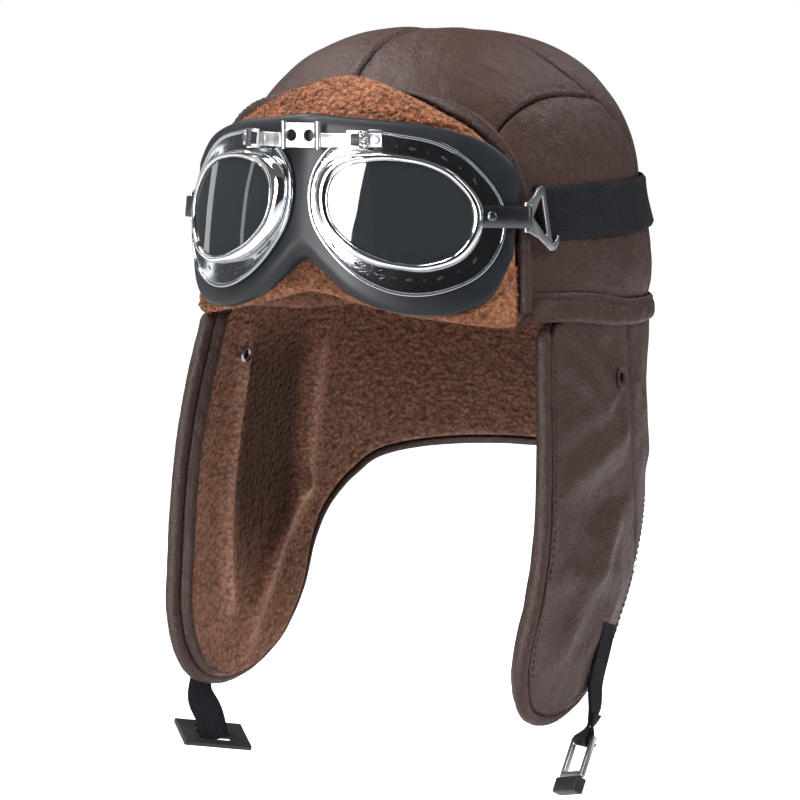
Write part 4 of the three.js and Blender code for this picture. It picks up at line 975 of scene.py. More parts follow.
class Finishes:
    """The hat's finishes, each made once."""

    def __init__(self) -> None:
        """Makes the shared effects, then each material."""
        for make in (grain_group, uneven_group, weave_group, handled_group):
            make()
        self.shell = Leather("shell_leather").make()
        self.rolled = Leather("rolled_leather", (0.085, 0.044, 0.036), pebbles=1000.0, roughness=0.36).make()
        self.fleece = Fleece("curly_fleece").make()
        self.lining = Fleece("lining_fleece", (0.045, 0.02, 0.013), (0.34, 0.158, 0.103),
                             (0.68, 0.36, 0.25)).make()
        self.chrome = Metal("polished_chrome", (0.86, 0.87, 0.88), 0.05).make()
        self.plate = Metal("mirror_plate", (0.42, 0.44, 0.48), 0.09).make()
        self.steel = Metal("satin_steel", (0.5, 0.51, 0.53), 0.26, 0.12, 0.00004).make()
        self.satin = Metal("satin_chrome", (0.88, 0.89, 0.9), 0.32, 0.12, 0.00003).make()
        self.dark_steel = Metal("dark_steel", (0.13, 0.14, 0.155), 0.28, 0.12, 0.00004).make()
        self.rubber = Moulded("mask_rubber", (0.011, 0.014, 0.019), (0.019, 0.024, 0.031), 0.46).make()
        self.plastic = Moulded("buckle_plastic", (0.022, 0.024, 0.027), (0.04, 0.042, 0.045), 0.38).make()
        self.glass = Glass("smoked_lens").make()
        self.webbing = Webbing("strap_webbing").make()
        self.thread = Thread("shell_thread", (0.022, 0.014, 0.012)).make()
        self.black_thread = Thread("strap_thread", (0.02, 0.02, 0.022)).make()


# Stitches and pile

@dataclass
class Stitching:
    """Rows of stitches that are gathered and made as one piece."""

    pitch: float = 3.5
    length: float = 2.7
    radius: float = 0.3
    rows: list[tuple[Array, Array]] = field(default_factory=list)

    def follow(self, line: Array, out: Array, both_sides: bool = False) -> None:
        """Adds a row of stitches.

        Args:
            line: Points of the row on the surface, in millimetres.
            out: Direction off the surface at each point.
            both_sides: Whether the mirrored row is added too.
        """
        run = np.concatenate([[0], np.cumsum(np.linalg.norm(np.diff(line, axis=0), axis=1))])
        count = max(int(run[-1] / self.pitch), 1)
        start = (np.arange(count) + 0.5) * run[-1] / count
        at = start[:, None] + np.linspace(-0.5, 0.5, 5) * self.length
        path = np.stack([np.interp(at, run, line[:, k]) for k in range(3)], axis=-1)
        up = unit(np.stack([np.interp(at, run, out[:, k]) for k in range(3)], axis=-1))
        path = path + up * (np.array([-0.45, 0.1, 0.2, 0.1, -0.45]) * self.radius / 0.3)[None, :, None]
        self.rows.append((path, up))
        if both_sides:
            self.rows.append((path * [-1, 1, 1], up * [-1, 1, 1]))

    def make(self, name: str) -> Piece:
        """All rows as one piece."""
        paths = np.concatenate([row[0] for row in self.rows])
        ups = np.concatenate([row[1] for row in self.rows])
        radius = np.broadcast_to(np.array([0, 0.85, 1, 0.85, 0]) * self.radius, paths.shape[:2])
        return strands(name, paths, radius, 6, ups, np.ones(len(paths)))


@dataclass
class Pile:
    """Curls of fleece that stand on a surface."""

    size: Pair = (0.6, 1.1)
    thick: float = 0.27
    steps: int = 5
    near: float = 0.002
    seed: int = 61

    def make(self, name: str, surface: Patch, count: int, keep: Patch) -> Piece:
        """Scatters curls.

        Args:
            name: The piece's name.
            surface: Points of the surface they stand on, in millimetres, by u and v.
            count: How many are tried.
            keep: Says by u and v which of them stay.

        Returns:
            The new object.
        """
        draw = np.random.default_rng(self.seed)
        u, v = draw.uniform(0.004, 0.996, count), draw.uniform(0.004, 0.996, count)
        stay = keep(u, v)
        u, v = u[stay], v[stay]
        count, step, base = len(u), self.near, surface(u, v)
        du, dv = surface(u + step, v) - surface(u - step, v), surface(u, v + step) - surface(u, v - step)
        out = unit(np.cross(du, dv))
        turn = draw.uniform(0, 2 * math.pi, count)[:, None]
        one = unit(du)
        run = np.cos(turn) * one + np.sin(turn) * np.cross(out, one)
        drift = np.cross(out, run)
        r = draw.uniform(*self.size, count)[:, None, None]
        t = np.linspace(0, 1, self.steps)[None, :, None]
        start = draw.uniform(-0.6, 0.3, count)[:, None, None]
        sweep = draw.uniform(2.0, 3.6, count)[:, None, None]
        angle = start + sweep * t
        path = (base[:, None] + out[:, None] * (r * np.sin(angle) + 0.1 * r) + run[:, None] * r * np.cos(angle)
                + drift[:, None] * draw.uniform(-1.4, 1.4, count)[:, None, None] * (t - 0.5) * r * 1.3)
        taper = np.minimum(1, 4.2 * np.minimum(t, 1 - t))[..., 0]
        radius = self.thick * taper * draw.uniform(0.75, 1.2, count)[:, None]
        up = np.broadcast_to(drift[:, None], path.shape)
        return strands(name, path, radius, 3, up, draw.uniform(0.45, 0.9, count))


def rolled(distance: Array, radius: float) -> Array:
    """Share of the full thickness near a rounded edge."""
    return np.sqrt(np.maximum(1 - (1 - np.clip(distance / radius, 0, 1)) ** 2, 0))


# Sub-assemblies

@dataclass
class Crown:
    """Leather panels of the crown with their seams, and the fleece inside."""

    leather: float = 1.6
    gap: float = 0.3
    dip: float = 1.0
    reach: float = 9.0
    tuck: float = 3.5
    inset: float = 2.6
    lining: Triple = (-4.5, -9.3, 120.0)
    front: tuple = ((0, -107, 17), (22, -104, 12), (44, -93, 9))
    cheek: tuple = ((44, -93, 9), (63, -80, 9), (80, -60, 10))
    centre: tuple = ((0, -107, 17), (0, -98, 70), (0, -72, 112), (0, -30, 129), (0, 15, 134))
    side: tuple = ((44, -93, 9), (62, -80, 45), (66, -56, 86), (71, -29, 100), (75, 0, 105), (77, 31, 104))
    cross: tuple = ((0, 15, 134), (36, 9, 130), (59, 10, 121), (70, 19, 112), (77, 31, 104))
    rear: tuple = ((77, 31, 104), (81, 50, 91), (83, 66, 74), (86, 72, 40), (86, 72, -3))
    noise: Noise = Noise(11)

    def patches(self) -> dict[str, Patch]:
        """The panels of the wearer's left half and the back one, as patches over the dome."""
        lines = {key: Spline(FORM.on_dome(np.array(getattr(self, key), float))).along
                 for key in ("front", "cheek", "centre", "side", "cross", "rear")}
        one = np.array(1.0)

        def foot(deg: Array) -> Array:
            """Lower edge of the panels under the band."""
            return FORM.dome_at(deg, FORM.band("high", deg) - self.tuck)

        def foot_between(start: float, end: float) -> Callable:
            """Foot of a panel between two angles."""
            return lambda t: foot(lerp(start, end, np.asarray(t, float)))
        ends = (lines[key](one) for key in ("cheek", "rear"))
        first, last = (float(np.degrees(np.arctan2(p[0], -p[1]))) for p in ends)
        side_foot, back_foot = foot_between(first, last), foot_between(last, 360 - last)

        def whole_cross(t: Array) -> Array:
            """Cross seam from one side to the other."""
            t = np.asarray(t, float)
            return lines["cross"](np.abs(1 - 2 * t)) * np.stack([np.where(t < 0.5, 1, -1), np.ones_like(t),
                                                                np.ones_like(t)], axis=-1)
        cheek = fitted(lines["cheek"], lines["front"](one), side_foot(np.array(0.0)))
        rear = fitted(lines["rear"], lines["cross"](one), side_foot(one))
        mirror = np.array([-1, 1, 1])
        return {
            "top": coons(lines["front"], lines["cross"], lines["centre"], lines["side"]),
            "side": coons(side_foot, lines["side"], backwards(cheek), backwards(rear)),
            "back": coons(back_foot, whole_cross, backwards(rear), lambda t: backwards(rear)(t) * mirror),
        }

    def relief(self, place: Array, edge: Array) -> Array:
        """Height of the leather: it dips towards its seams, puckers near them and is softly uneven."""
        pucker = self.noise.value(place, 4.2) * 0.32 * hump(edge - 3, 4.5)
        soft = self.noise.layered(place, 34) * 0.7 + self.noise.value(place, 9) * 0.16
        low = hump(place[..., 2] - 20, 13) * smoothstep(place[..., 1], -50, 0)
        soft = soft + low * self.noise.layered(place * [1.0, 1.0, 0.35], 5.5) * 0.55
        return (soft * np.clip(edge / 8, 0, 1) + pucker - self.dip * np.exp(-2 * (edge / self.reach) ** 2)
                - 0.9 * hump(edge, 0.9) + 0.4 * hump(edge - 2.3, 1.2))

    def edge_distance(self, patch: Patch, u: Array, v: Array) -> Array:
        """Distance from a panel's nearest seam."""
        zero, one = np.zeros_like(u), np.ones_like(u)
        wide = np.linalg.norm(patch(one, v) - patch(zero, v), axis=-1)
        high = np.linalg.norm(patch(u, one) - patch(u, zero), axis=-1)
        return np.minimum(np.minimum(u, 1 - u) * wide, np.minimum(v, 1 - v) * high)

    def panel(self, name: str, patch: Patch, size: Pair, side: int) -> Piece:
        """One leather panel.

        Args:
            name: The piece's name.
            patch: Its patch.
            size: Its nominal width and height.
            side: -1 for the mirrored panel.

        Returns:
            The new object.
        """
        def surface(off: float) -> Face:
            """One face of the panel."""
            def place(u: Array, v: Array) -> Placed:
                """Points and closeness to the seam."""
                a = lerp(self.gap / size[0], 1 - self.gap / size[0], u)
                b = lerp(self.gap / size[1], 1 - self.gap / size[1], v)
                edge = self.edge_distance(patch, a, b)
                guide = patch(a, b)
                mirror = np.array([side, 1, 1])
                height = self.relief(guide * mirror, edge)
                return FORM.on_dome(guide, height + off) * mirror, {"seam": hump(edge, 1.3)}
            return place
        columns, rows = (max(int(s / 1.5), 8) for s in size)
        return shell(name, columns, rows, surface(0.0), surface(-self.leather), size=size)

    def seam_row(self, patch: Patch, edge: str) -> tuple[Array, Array]:
        """Points beside a seam and the direction off the surface there.

        Args:
            patch: The panel that is stitched.
            edge: The edge it follows: high, left or right.

        Returns:
            The row's points and directions.
        """
        t = np.linspace(0.01, 0.99, 160)
        zero, near = np.zeros_like(t), np.full_like(t, 0.03)
        pairs = {"high": ((t, zero + 1), (t, 1 - near)), "left": ((zero, t), (near, t)),
                 "right": ((zero + 1, t), (1 - near, t))}
        a, b = (patch(*uv) for uv in pairs[edge])
        guide = a + unit(b - a) * self.inset
        sink = self.dip * np.exp(-2 * (self.inset / self.reach) ** 2)
        return FORM.on_dome(guide, 0.05 - sink), unit(guide)

    def lining_face(self, off: float, lift: Callable[[Array], Array] | None = None) -> Face:
        """One face of the fleece inside the crown."""
        def foot_z(deg: Array) -> Array:
            """Lower edge: the visor's fold in front, the band's edge behind."""
            side = np.minimum(deg, 360 - deg)
            fold = FORM.visor_rows("low", np.minimum(side, 50)) + 1
            return lerp(fold, FORM.band("low", deg), smoothstep(side, 50, 58)) - 1.5 * smoothstep(side, 60, 75)

        def place(u: Array, v: Array) -> Placed:
            """Points of the face and the pile's height, kept as painted shade between the curls."""
            middle = (self.lining[0] + self.lining[1]) / 2
            at = lerp(middle, off, rolled(v * 170, 3.5))
            foot = FORM.dome_at(360 * u, foot_z(360 * u), at)
            rise = (math.pi / 2) * v[:, None]
            pole = np.array([0, FORM.lean, self.lining[2]])
            guide = foot * np.cos(rise) + pole * np.sin(rise)
            curl = np.zeros_like(u) if lift is None else self.noise.nubs(guide, 2.9)
            # The nubs' height is kept as painted shade, low between the curls and high on their tops
            return FORM.on_dome(guide, at + (0 if lift is None else lift(curl))), {"tint": 0.35 + 0.5 * curl}
        return place

    def build(self, finishes: Finishes, stitches: Stitching) -> None:
        """Makes and dresses the crown.

        Args:
            finishes: The hat's finishes.
            stitches: Gathers the rows of stitches in the shell.
        """
        patches = self.patches()
        sizes = {"top": (80.0, 190.0), "side": (150.0, 90.0), "back": (190.0, 130.0)}
        for key, node in (("top", "crown_top"), ("side", "crown_side")):
            for side, word in SIDES:
                piece = self.panel(f"{node}_leather_{word}", patches[key], sizes[key], side)
                settle(piece, finishes.shell, "leather", f"{node}_{word}")
        settle(self.panel("crown_back_leather", patches["back"], sizes["back"], 1), finishes.shell, "leather",
               "crown_back")
        for key, edge, both in (("top", "left", True), ("top", "right", True), ("back", "high", False),
                                ("side", "right", True)):
            stitches.follow(*self.seam_row(patches[key], edge), both_sides=both)
        fleece = shell("crown_fleece", 200, 70, self.lining_face(self.lining[0]),
                       self.lining_face(self.lining[1], lambda curl: 0.6 - 1.4 * curl), bowl=True)
        settle(fleece, finishes.lining, "fleece", "crown_lining")


@dataclass
class Band:
    """Puffed leather band over the seam between the crown and the flaps."""

    start: float = 54.6
    off: float = 0.6
    leather: float = 1.6
    puff: float = 0.9
    stitch_at: float = 0.77
    high: float = 12.0
    per_degree: float = 1.85
    noise: Noise = Noise(23)

    def surface(self, u: Array, v: Array, off: Array | float) -> Array:
        """Points of the band at a distance from the wall."""
        deg = lerp(self.start, 360 - self.start, u)
        return FORM.wall(deg, lerp(FORM.band("low", deg), FORM.band("high", deg), v), off)

    def outside(self, u: Array, v: Array) -> Placed:
        """Outer face with its gathers and its stitched channel."""
        run = lerp(self.start, 360 - self.start, u) * self.per_degree
        side = np.minimum(run, 360 * self.per_degree - run) / self.per_degree
        high, edge = self.high * v, np.minimum(v, 1 - v) * self.high
        more = lerp(0.35, 1.0, smoothstep(side, 70, 105))
        gather = self.noise.value(points(run, high * 0.28, 0 * u), 4.6) * 0.8 * more
        gather = gather * (0.35 + 0.65 * hump(v - self.stitch_at, 0.3))
        gather = gather + self.noise.value(points(run, high, 5), 15) * 0.3
        channel = hump((v - self.stitch_at) * self.high, 0.9)
        ease = smoothstep(side, self.start, self.start + 5)
        thick = self.leather * rolled(edge, 1.8) * lerp(0.3, 1.0, ease)
        swell = self.puff * (1 - np.abs(2 * v - 0.85) ** 2.2).clip(0) * rolled(edge, 3)
        height = thick + (swell + gather * rolled(edge, 3) - 0.75 * channel) * ease
        return self.surface(u, v, self.off + np.maximum(height, 0.1)), {"seam": 0.45 * channel}

    def inside(self, u: Array, v: Array) -> Placed:
        """Inner face."""
        return self.surface(u, v, self.off), {}

    def build(self, finishes: Finishes, stitches: Stitching) -> None:
        """Makes and dresses the band."""
        piece = shell("side_band_leather", 480, 12, self.outside, self.inside, size=(440, 12))
        settle(piece, finishes.shell, "leather", "side_band")
        u = np.linspace(0.004, 0.996, 900)
        line = self.outside(u, np.full_like(u, self.stitch_at))[0]
        stitches.follow(line, unit(line * [1, 1, 0]))


@dataclass
class Skirt:
    """Ear flaps and neck flap: leather outside, fleece inside, piping along the edge, eyelets."""

    leather: float = 1.6
    piping: float = 3.5
    depth: float = 3.6
    gap: float = 0.3
    tuck: float = 3.5
    lining: Triple = (-3.7, -8.7, 1.2)
    neck_deg: float = 118.0
    neck_z: float = -81.5
    corners: tuple[int, int] = (6, 14)
    ear_size: Pair = (110.0, 170.0)
    neck_size: Pair = (250.0, 85.0)
    hidden: float = 0.9
    stitch_in: float = 3.2
    row_in: float = 1.4
    facing_levels: Pair = (-6.6, -3.0)
    facing_end: float = 10.0
    edge: tuple = (
        (-54, 12), (-58, -1), (-64, -24), (-70.5, -60), (-75.3, -98), (-80.5, -127), (-85.8, -149),
        (-83.5, -166), (-73, -180), (-48, -187.5), (-20, -185.5), (4, -177), (20, -164.5), (32, -150),
        (43, -131), (55.5, -113.5), (73, -98), (90, -88))
    folds: tuple = ((-26, -8, -4, -37, 2.4, 6), (-12, -8, 1, -22, -2.2, 6), (-48, -72, 18, -58, 2.0, 9),
                    (-52, -92, 20, -82, -1.8, 9), (-50, -150, -2, -100, 2.2, 10))
    small_folds: tuple = ((-46, -20, -20, -36, 0.9, 5), (-52, -50, -8, -44, 0.8, 6),
                          (10, -20, 34, -60, 1.0, 7), (-56, -118, 6, -128, 1.0, 8),
                          (-30, -168, 14, -138, 1.0, 8), (40, -30, 66, -74, 0.9, 8),
                          (-58, -76, -30, -128, -0.9, 8))
    lining_folds: tuple = ((-27, -6, -46, -150, 6.0, 5.5), (44, 0, 30, -100, 6.0, 5.5),
                           (30, -100, -34, -176, 6.0, 5.5))
    eyelets: tuple = (("left", 1, 12.0, -32.0), ("right", -1, -31.0, -25.0))
    noise: Noise = Noise(37)

    def __post_init__(self) -> None:
        """Draws the edge line all round, by angle and height."""
        side = np.array(self.edge, float)
        half = np.column_stack([FORM.skirt_angle(side[:, 0], side[:, 1]), side[:, 1]])
        whole = np.vstack([half, [[180, self.neck_z]], (half * [-1, 1] + [360, 0])[::-1]])
        self.line = Spline(whole)
        self.spans = 2 * len(side)

    def thin(self, row: Array) -> Array:
        """How much thinner the piping is along an edge line: full in front, slim behind."""
        return lerp(1.0, 0.62, smoothstep(np.minimum(row, self.spans - row), 7, 11))

    def edge_inside(self, row: Array, inset: float | Callable) -> Array:
        """Edge line moved inwards along the skirt's own surface."""
        row = np.asarray(row, float)
        inset = inset(row) if callable(inset) else inset
        at = self.line.at(row / self.spans)
        step = (self.line.at(np.minimum(row + 0.05, self.spans) / self.spans)
                - self.line.at(np.maximum(row - 0.05, 0) / self.spans))
        deg, z = at[..., 0], at[..., 1]
        level = FORM.skirt(deg, z) - points(0, FORM.skirt_rows("widest", z), z)
        scale = np.radians(1) * np.linalg.norm(level, axis=-1)
        across = np.hypot(step[..., 0] * scale, step[..., 1])
        return np.stack([deg - inset * step[..., 1] / across / scale,
                         z + inset * step[..., 0] * scale / across], axis=-1)

    def row_below(self, inset: float, height: Callable[[Array], Array]) -> float:
        """Place along the edge line where it comes down past a height."""
        low, high = 0.0, 2.0
        for _ in range(30):
            row = (low + high) / 2
            p = self.edge_inside(np.array(row), inset)
            low, high = (row, high) if p[1] > height(p[0]) else (low, row)
        return low

    def top(self, first: float, last: float, lift: float) -> Callable:
        """Upper edge of a flap under the band."""
        def edge(t: Array) -> Array:
            """Angle and height."""
            deg = lerp(first, last, np.asarray(t, float))
            return np.stack([deg, FORM.band("low", deg) + lift], axis=-1)
        return edge

    def along_edge(self, first: float, last: float, inset: float) -> Callable:
        """Part of the edge line moved inwards."""
        return lambda t: self.edge_inside(lerp(first, last, np.asarray(t, float)), inset)

    @staticmethod
    def straight(a: Array, b: Array) -> Callable:
        """Straight edge from one corner to another."""
        return lambda t: a + (b - a) * np.asarray(t)[..., None]

    def flap_patch(self, lift: float, inset: float) -> Patch:
        """Flap from the temple to the neck seam, as angles and heights."""
        start = self.row_below(inset, lambda deg: FORM.band("low", deg) + lift)
        front = self.along_edge(start, self.corners[0], inset)
        bottom = self.along_edge(*self.corners, inset)
        head = front(np.array(0.0))
        top = self.top(head[0], self.neck_deg, lift)
        foot, end = bottom(np.array(1.0)), top(np.array(1.0))
        return coons(bottom, fitted(top, head, end), backwards(front), self.straight(foot, end))

    def neck_patch(self, lift: float, inset: float) -> Patch:
        """Flap over the neck between the two seams."""
        bottom = self.along_edge(self.corners[1], self.spans - self.corners[1], inset)
        top = self.top(self.neck_deg, 360 - self.neck_deg, lift)
        return coons(bottom, top, *(self.straight(bottom(np.array(t)), top(np.array(t))) for t in (0.0, 1.0)))

    @staticmethod
    def fold_height(folds: Sequence[Sequence[float]], y: Array, z: Array) -> Array:
        """Height of soft straight folds at points in side view."""
        total = np.zeros(np.shape(y))
        for y0, z0, y1, z1, height, width in folds:
            t = ((y - y0) * (y1 - y0) + (z - z0) * (z1 - z0)) / ((y1 - y0) ** 2 + (z1 - z0) ** 2)
            t = np.clip(t, 0, 1)
            total += height * hump(np.hypot(y - lerp(y0, y1, t), z - lerp(z0, z1, t)), width)
        return total

    def face(self, patch: Patch, off: float, side: int, neck: bool) -> Face:
        """One leather face of a flap.

        Args:
            patch: The flap's patch.
            off: Distance from the wall.
            side: -1 for the mirrored flap.
            neck: Whether it is the flap over the neck.

        Returns:
            A maker of the face's points.
        """
        mirror = np.array([side, 1, 1])
        size = self.neck_size if neck else self.ear_size
        folds = self.folds + self.small_folds

        def place(u: Array, v: Array) -> Placed:
            """Points of the face and closeness to its seams."""
            share = self.gap / 400
            at = patch(lerp(share if neck else 0.0, 1 - share, u), v)
            flat = FORM.wall(*at.T, off)
            rim = np.minimum.reduce([np.ones_like(u), 5 * v, 5 * (1 - v), 6 * u, 6 * (1 - u)])
            edge = v * size[1] if neck else np.minimum(v * size[1], u * size[0])
            seam = np.minimum(u, 1 - u) * size[0] if neck else (1 - u) * size[0]
            spot, near = flat * mirror, np.minimum(edge, seam)
            soft = self.noise.layered(spot, 30) + self.noise.value(spot, 8) * 0.2
            pucker = self.noise.value(spot, 4.2) * 0.3 * hump(near - 3.5, 4)
            height = rim * np.maximum(1.7 * self.fold_height(folds, *flat[:, 1:].T), -1.6)
            height = height + soft * np.clip(near / 9, 0, 1) + pucker
            height -= 0.9 * hump(edge, 1.8) + 0.9 * hump(seam, 2.2)
            close = np.maximum(hump(edge, 1.2), hump(seam, 1.1))
            return FORM.wall(*at.T, off + height) * mirror, {"seam": close}
        return place

    @staticmethod
    def hollow_shade(y: Array, z: Array) -> Array:
        """How much painted shade darkens a place in the hollow between the lining's folds, in side view."""
        return smoothstep(np.abs(y + 1 - 0.1 * (z + 60)), 30, 18) * smoothstep(z, -175, -95)

    def fleece(self, patch: Patch, folds: Sequence, side: int, neck: bool) -> Face:
        """One face of a flap's fleece, rounded at the flap's edge.

        Args:
            patch: The flap's patch.
            folds: The folds of its pile, or none for the side that lies against the leather.
            side: -1 for the mirrored flap.
            neck: Whether it is the flap over the neck.

        Returns:
            A maker of the face's points.
        """
        mirror = np.array([side, 1, 1])
        size = self.neck_size if neck else self.ear_size
        out, deep, _ = self.lining
        off = deep if folds else out

        def place(u: Array, v: Array) -> Placed:
            """Points of the face and its painted shade, darker in the hollow between the folds and between the
            curls, lighter on the fold ridges.
            """
            share = self.gap / 1500
            at = patch(lerp(share, 1 - share, u), v)
            flat = FORM.wall(*at.T, off)
            edge = np.minimum(v * size[1], np.minimum(u, 1 - u) * size[0] + 3.4)
            level = lerp((out + deep) / 2, off, rolled(edge, 4))
            if not folds:
                return FORM.wall(*at.T, level) * mirror, {"tint": np.full_like(u, 0.33)}
            rim = np.minimum(np.minimum(1.0, 5 * np.minimum(v, 1 - v)), 1.0 if neck else 6 * u)
            fold = rim * self.fold_height(folds, *flat[:, 1:].T)
            curl = self.noise.nubs(flat * mirror, 2.5)
            height = level - fold - (1.1 * curl - 0.5) * rolled(edge, 4)
            # Painted shade in the hollow between the folds and between the curls, painted light on the fold
            # ridges
            dark = 0.45 * rim * self.hollow_shade(*flat[:, 1:].T)
            tint = 0.48 + 0.3 * (curl - 0.5) + 0.085 * fold - dark
            return FORM.wall(*at.T, height) * mirror, {"tint": tint}
        return place

    @staticmethod
    def spot(side: int, y: float, z: float) -> tuple[Array, Array]:
        """Place of an eyelet on the wall, and the direction that the wall faces there."""
        deg = FORM.skirt_angle(np.array(y), np.array(z))
        return FORM.wall(deg, np.array(z)) * [side, 1, 1], FORM.wall_out(deg, np.array(z)) * [side, 1, 1]

    def rings(self, finishes: Finishes) -> None:
        """Turned ventilation eyelets on both faces of the ear flaps."""
        for word, side, y, z in self.eyelets:
            out = self.spot(side, y, z)[1]
            for node, way, hole, wide, finish, slot in (
                    (f"eyelet_{word}", 1, 3.0, 6.0, finishes.rolled, "leather"),
                    (f"eyelet_inner_{word}", -1, 2.5, 4.6, finishes.steel, "chrome")):
                low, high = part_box(node)
                middle = np.array((Vector(low) + Vector(high)) / 2) / MM
                profile = [(hole, 0), (wide - 0.2, 0), (wide, 0.25), (wide - 0.4, 0.85), (wide - 1.0, 1.15),
                           (wide - 1.6, 1.1), (hole + 0.5, 0.75), (hole + 0.15, 0.4)]
                name = node.replace("eyelet", "eyelet_ring")
                settle(turned(name, profile, middle - out * way * 0.6, out * way), finish, slot, node)

    def pierce(self, piece: Piece, side: int, y: float, z: float) -> None:
        """Cuts the eyelet's hole through a piece."""
        cut_away(piece, turned("drill", [(0, -30), (3, -30), (3, 30), (0, 30)], *self.spot(side, y, z), 24))

    def build(self, finishes: Finishes, stitches: Stitching) -> None:
        """Makes and dresses the flaps."""
        def skin(row: Array) -> Array:
            """Inset of the leather, whose edge is hidden in the piping."""
            return self.piping * self.thin(row) - self.hidden

        def soft(row: Array) -> Array:
            """Inset of the fleece, which rolls over the slim part of the piping."""
            side = np.minimum(row, self.spans - row)
            over = 1.6 * smoothstep(side, 7, 9) * (1 - smoothstep(side, 13, 15))
            return skin(row) + 0.5 - over + smoothstep(side, 13.5, 16)
        flap, neck = self.flap_patch(self.tuck, skin), self.neck_patch(self.tuck, skin)
        flap_in, neck_in = self.flap_patch(self.lining[2], soft), self.neck_patch(self.lining[2], soft)
        for word, side, y, z in self.eyelets:
            piece = shell(f"ear_flap_leather_{word}", 74, 116, self.face(flap, 0, side, False),
                          self.face(flap, -self.leather, side, False), size=self.ear_size)
            self.pierce(piece, side, y, z)
            settle(piece, finishes.shell, "leather", f"ear_flap_{word}")
            piece = shell(f"ear_flap_fleece_{word}", 124, 186, self.fleece(flap_in, (), side, False),
                          self.fleece(flap_in, self.lining_folds, side, False), size=self.ear_size)
            self.pierce(piece, side, y, z)
            settle(piece, finishes.lining, "fleece", f"ear_flap_lining_{word}")
        piece = shell("neck_flap_leather", 150, 50, self.face(neck, 0, 1, True),
                      self.face(neck, -self.leather, 1, True), size=self.neck_size)
        settle(piece, finishes.shell, "leather", "neck_flap")
        piece = shell("neck_flap_fleece", 250, 84, self.fleece(neck_in, (), 1, True),
                      self.fleece(neck_in, self.lining_folds[1:], 1, True), size=self.neck_size)
        settle(piece, finishes.lining, "fleece", "neck_flap_lining")
        self.rings(finishes)
        self.roll(finishes)
        for word, side, _, _ in self.eyelets:
            self.facing(word, side, finishes, stitches)
        for first, last, both in ((1.0, 14.0, True), (14.0, self.spans - 14.0, False)):
            row = np.linspace(first, last, 500)
            at = self.edge_inside(row, lambda place: skin(place) + self.stitch_in)
            stitches.follow(FORM.wall(*at.T), FORM.wall_out(*at.T), both_sides=both)

    def facing(self, word: str, side: int, finishes: Finishes, stitches: Stitching) -> None:
        """Leather facing that turns from the piping onto the fleece along the front of an ear flap."""
        start = self.first_row() + 0.05

        def facing_width(row: Array) -> Array:
            """Width of the facing, which runs out behind."""
            return 0.5 + 5.5 * (1 - smoothstep(row, 6.5, 9.8))

        def face(thick: float) -> Face:
            """One face of the facing."""
            def place(u: Array, v: Array) -> Placed:
                """Points of the face and closeness to its stitches."""
                row = lerp(start, self.facing_end, u)
                wide = facing_width(row)
                at = self.edge_inside(row, 2.0 + wide * v)
                stitch = hump((1 - v) * wide - self.row_in, 0.7)
                level = self.facing_levels[0] + self.facing_levels[1] * smoothstep(wide * v, -0.5, 2.4)
                level = level - thick * rolled((1 - v) * wide, 0.8) * (1 - 0.4 * stitch)
                level = level + 0.25 * self.noise.value(points(row * 20, v * wide, 0 * v), 6) * (thick > 0)
                return FORM.wall(*at.T, level) * [side, 1, 1], {"seam": 0.5 * stitch}
            return place
        piece = shell(f"edge_facing_{word}", 260, 10, face(1.1), face(0.0), size=(330, 7))
        settle(piece, finishes.rolled, "leather")
        u = np.linspace(0.01, 0.72, 400)
        row = lerp(start, self.facing_end, u)
        line = face(1.1)(u, 1 - self.row_in / facing_width(row))[0]
        at = self.edge_inside(row, 5.0)
        stitches.follow(line, -FORM.wall_out(*at.T) * [side, 1, 1])

    def first_row(self) -> float:
        """Place along the edge line where the piping comes out under the visor."""
        return self.row_below(0, lambda deg: -3.6)

    def roll(self, finishes: Finishes) -> None:
        """Piping all along the edge."""
        start = self.first_row()
        steps = np.arange(560)
        row = np.linspace(start, self.spans - start, 560)
        at = self.edge_inside(row, 0)
        path = FORM.wall(*at.T, -self.depth)
        out = FORM.wall_out(*at.T)
        ease = rolled(np.minimum(steps, steps[::-1]) * 1.3, 3.5)
        wrinkle = 1 + 0.05 * self.noise.layered(path, 6)
        rings = tube_rings(path, self.piping * self.thin(row) * np.maximum(ease, 0.05) * wrinkle, 16, out)
        run = np.linalg.norm(np.diff(path, axis=0), axis=1).sum()
        settle(loft("edge_piping_leather", rings, False, run, 22), finishes.rolled, "leather", "edge_piping")


def cut_away(piece: Piece, tool: Piece) -> None:
    """Takes a tool's shape out of a piece and removes the tool."""
    modifier = piece.modifiers.new("cut", "BOOLEAN")
    modifier.operation, modifier.solver, modifier.object = "DIFFERENCE", "EXACT", tool
    bpy.context.view_layer.update()
    done = bpy.data.meshes.new_from_object(piece.evaluated_get(bpy.context.evaluated_depsgraph_get()))
    piece.modifiers.clear()
    old = piece.data
    piece.data = done
    bpy.data.meshes.remove(old)
    bpy.data.objects.remove(tool)


MASK_ROWS = Table("x low high", [
    (0, 34, 93), (12, 24, 93), (25, 14, 93), (42, 7.5, 92.5), (59, 5.5, 90), (73, 8, 85), (83, 16, 76),
    (88.5, 33, 66)])


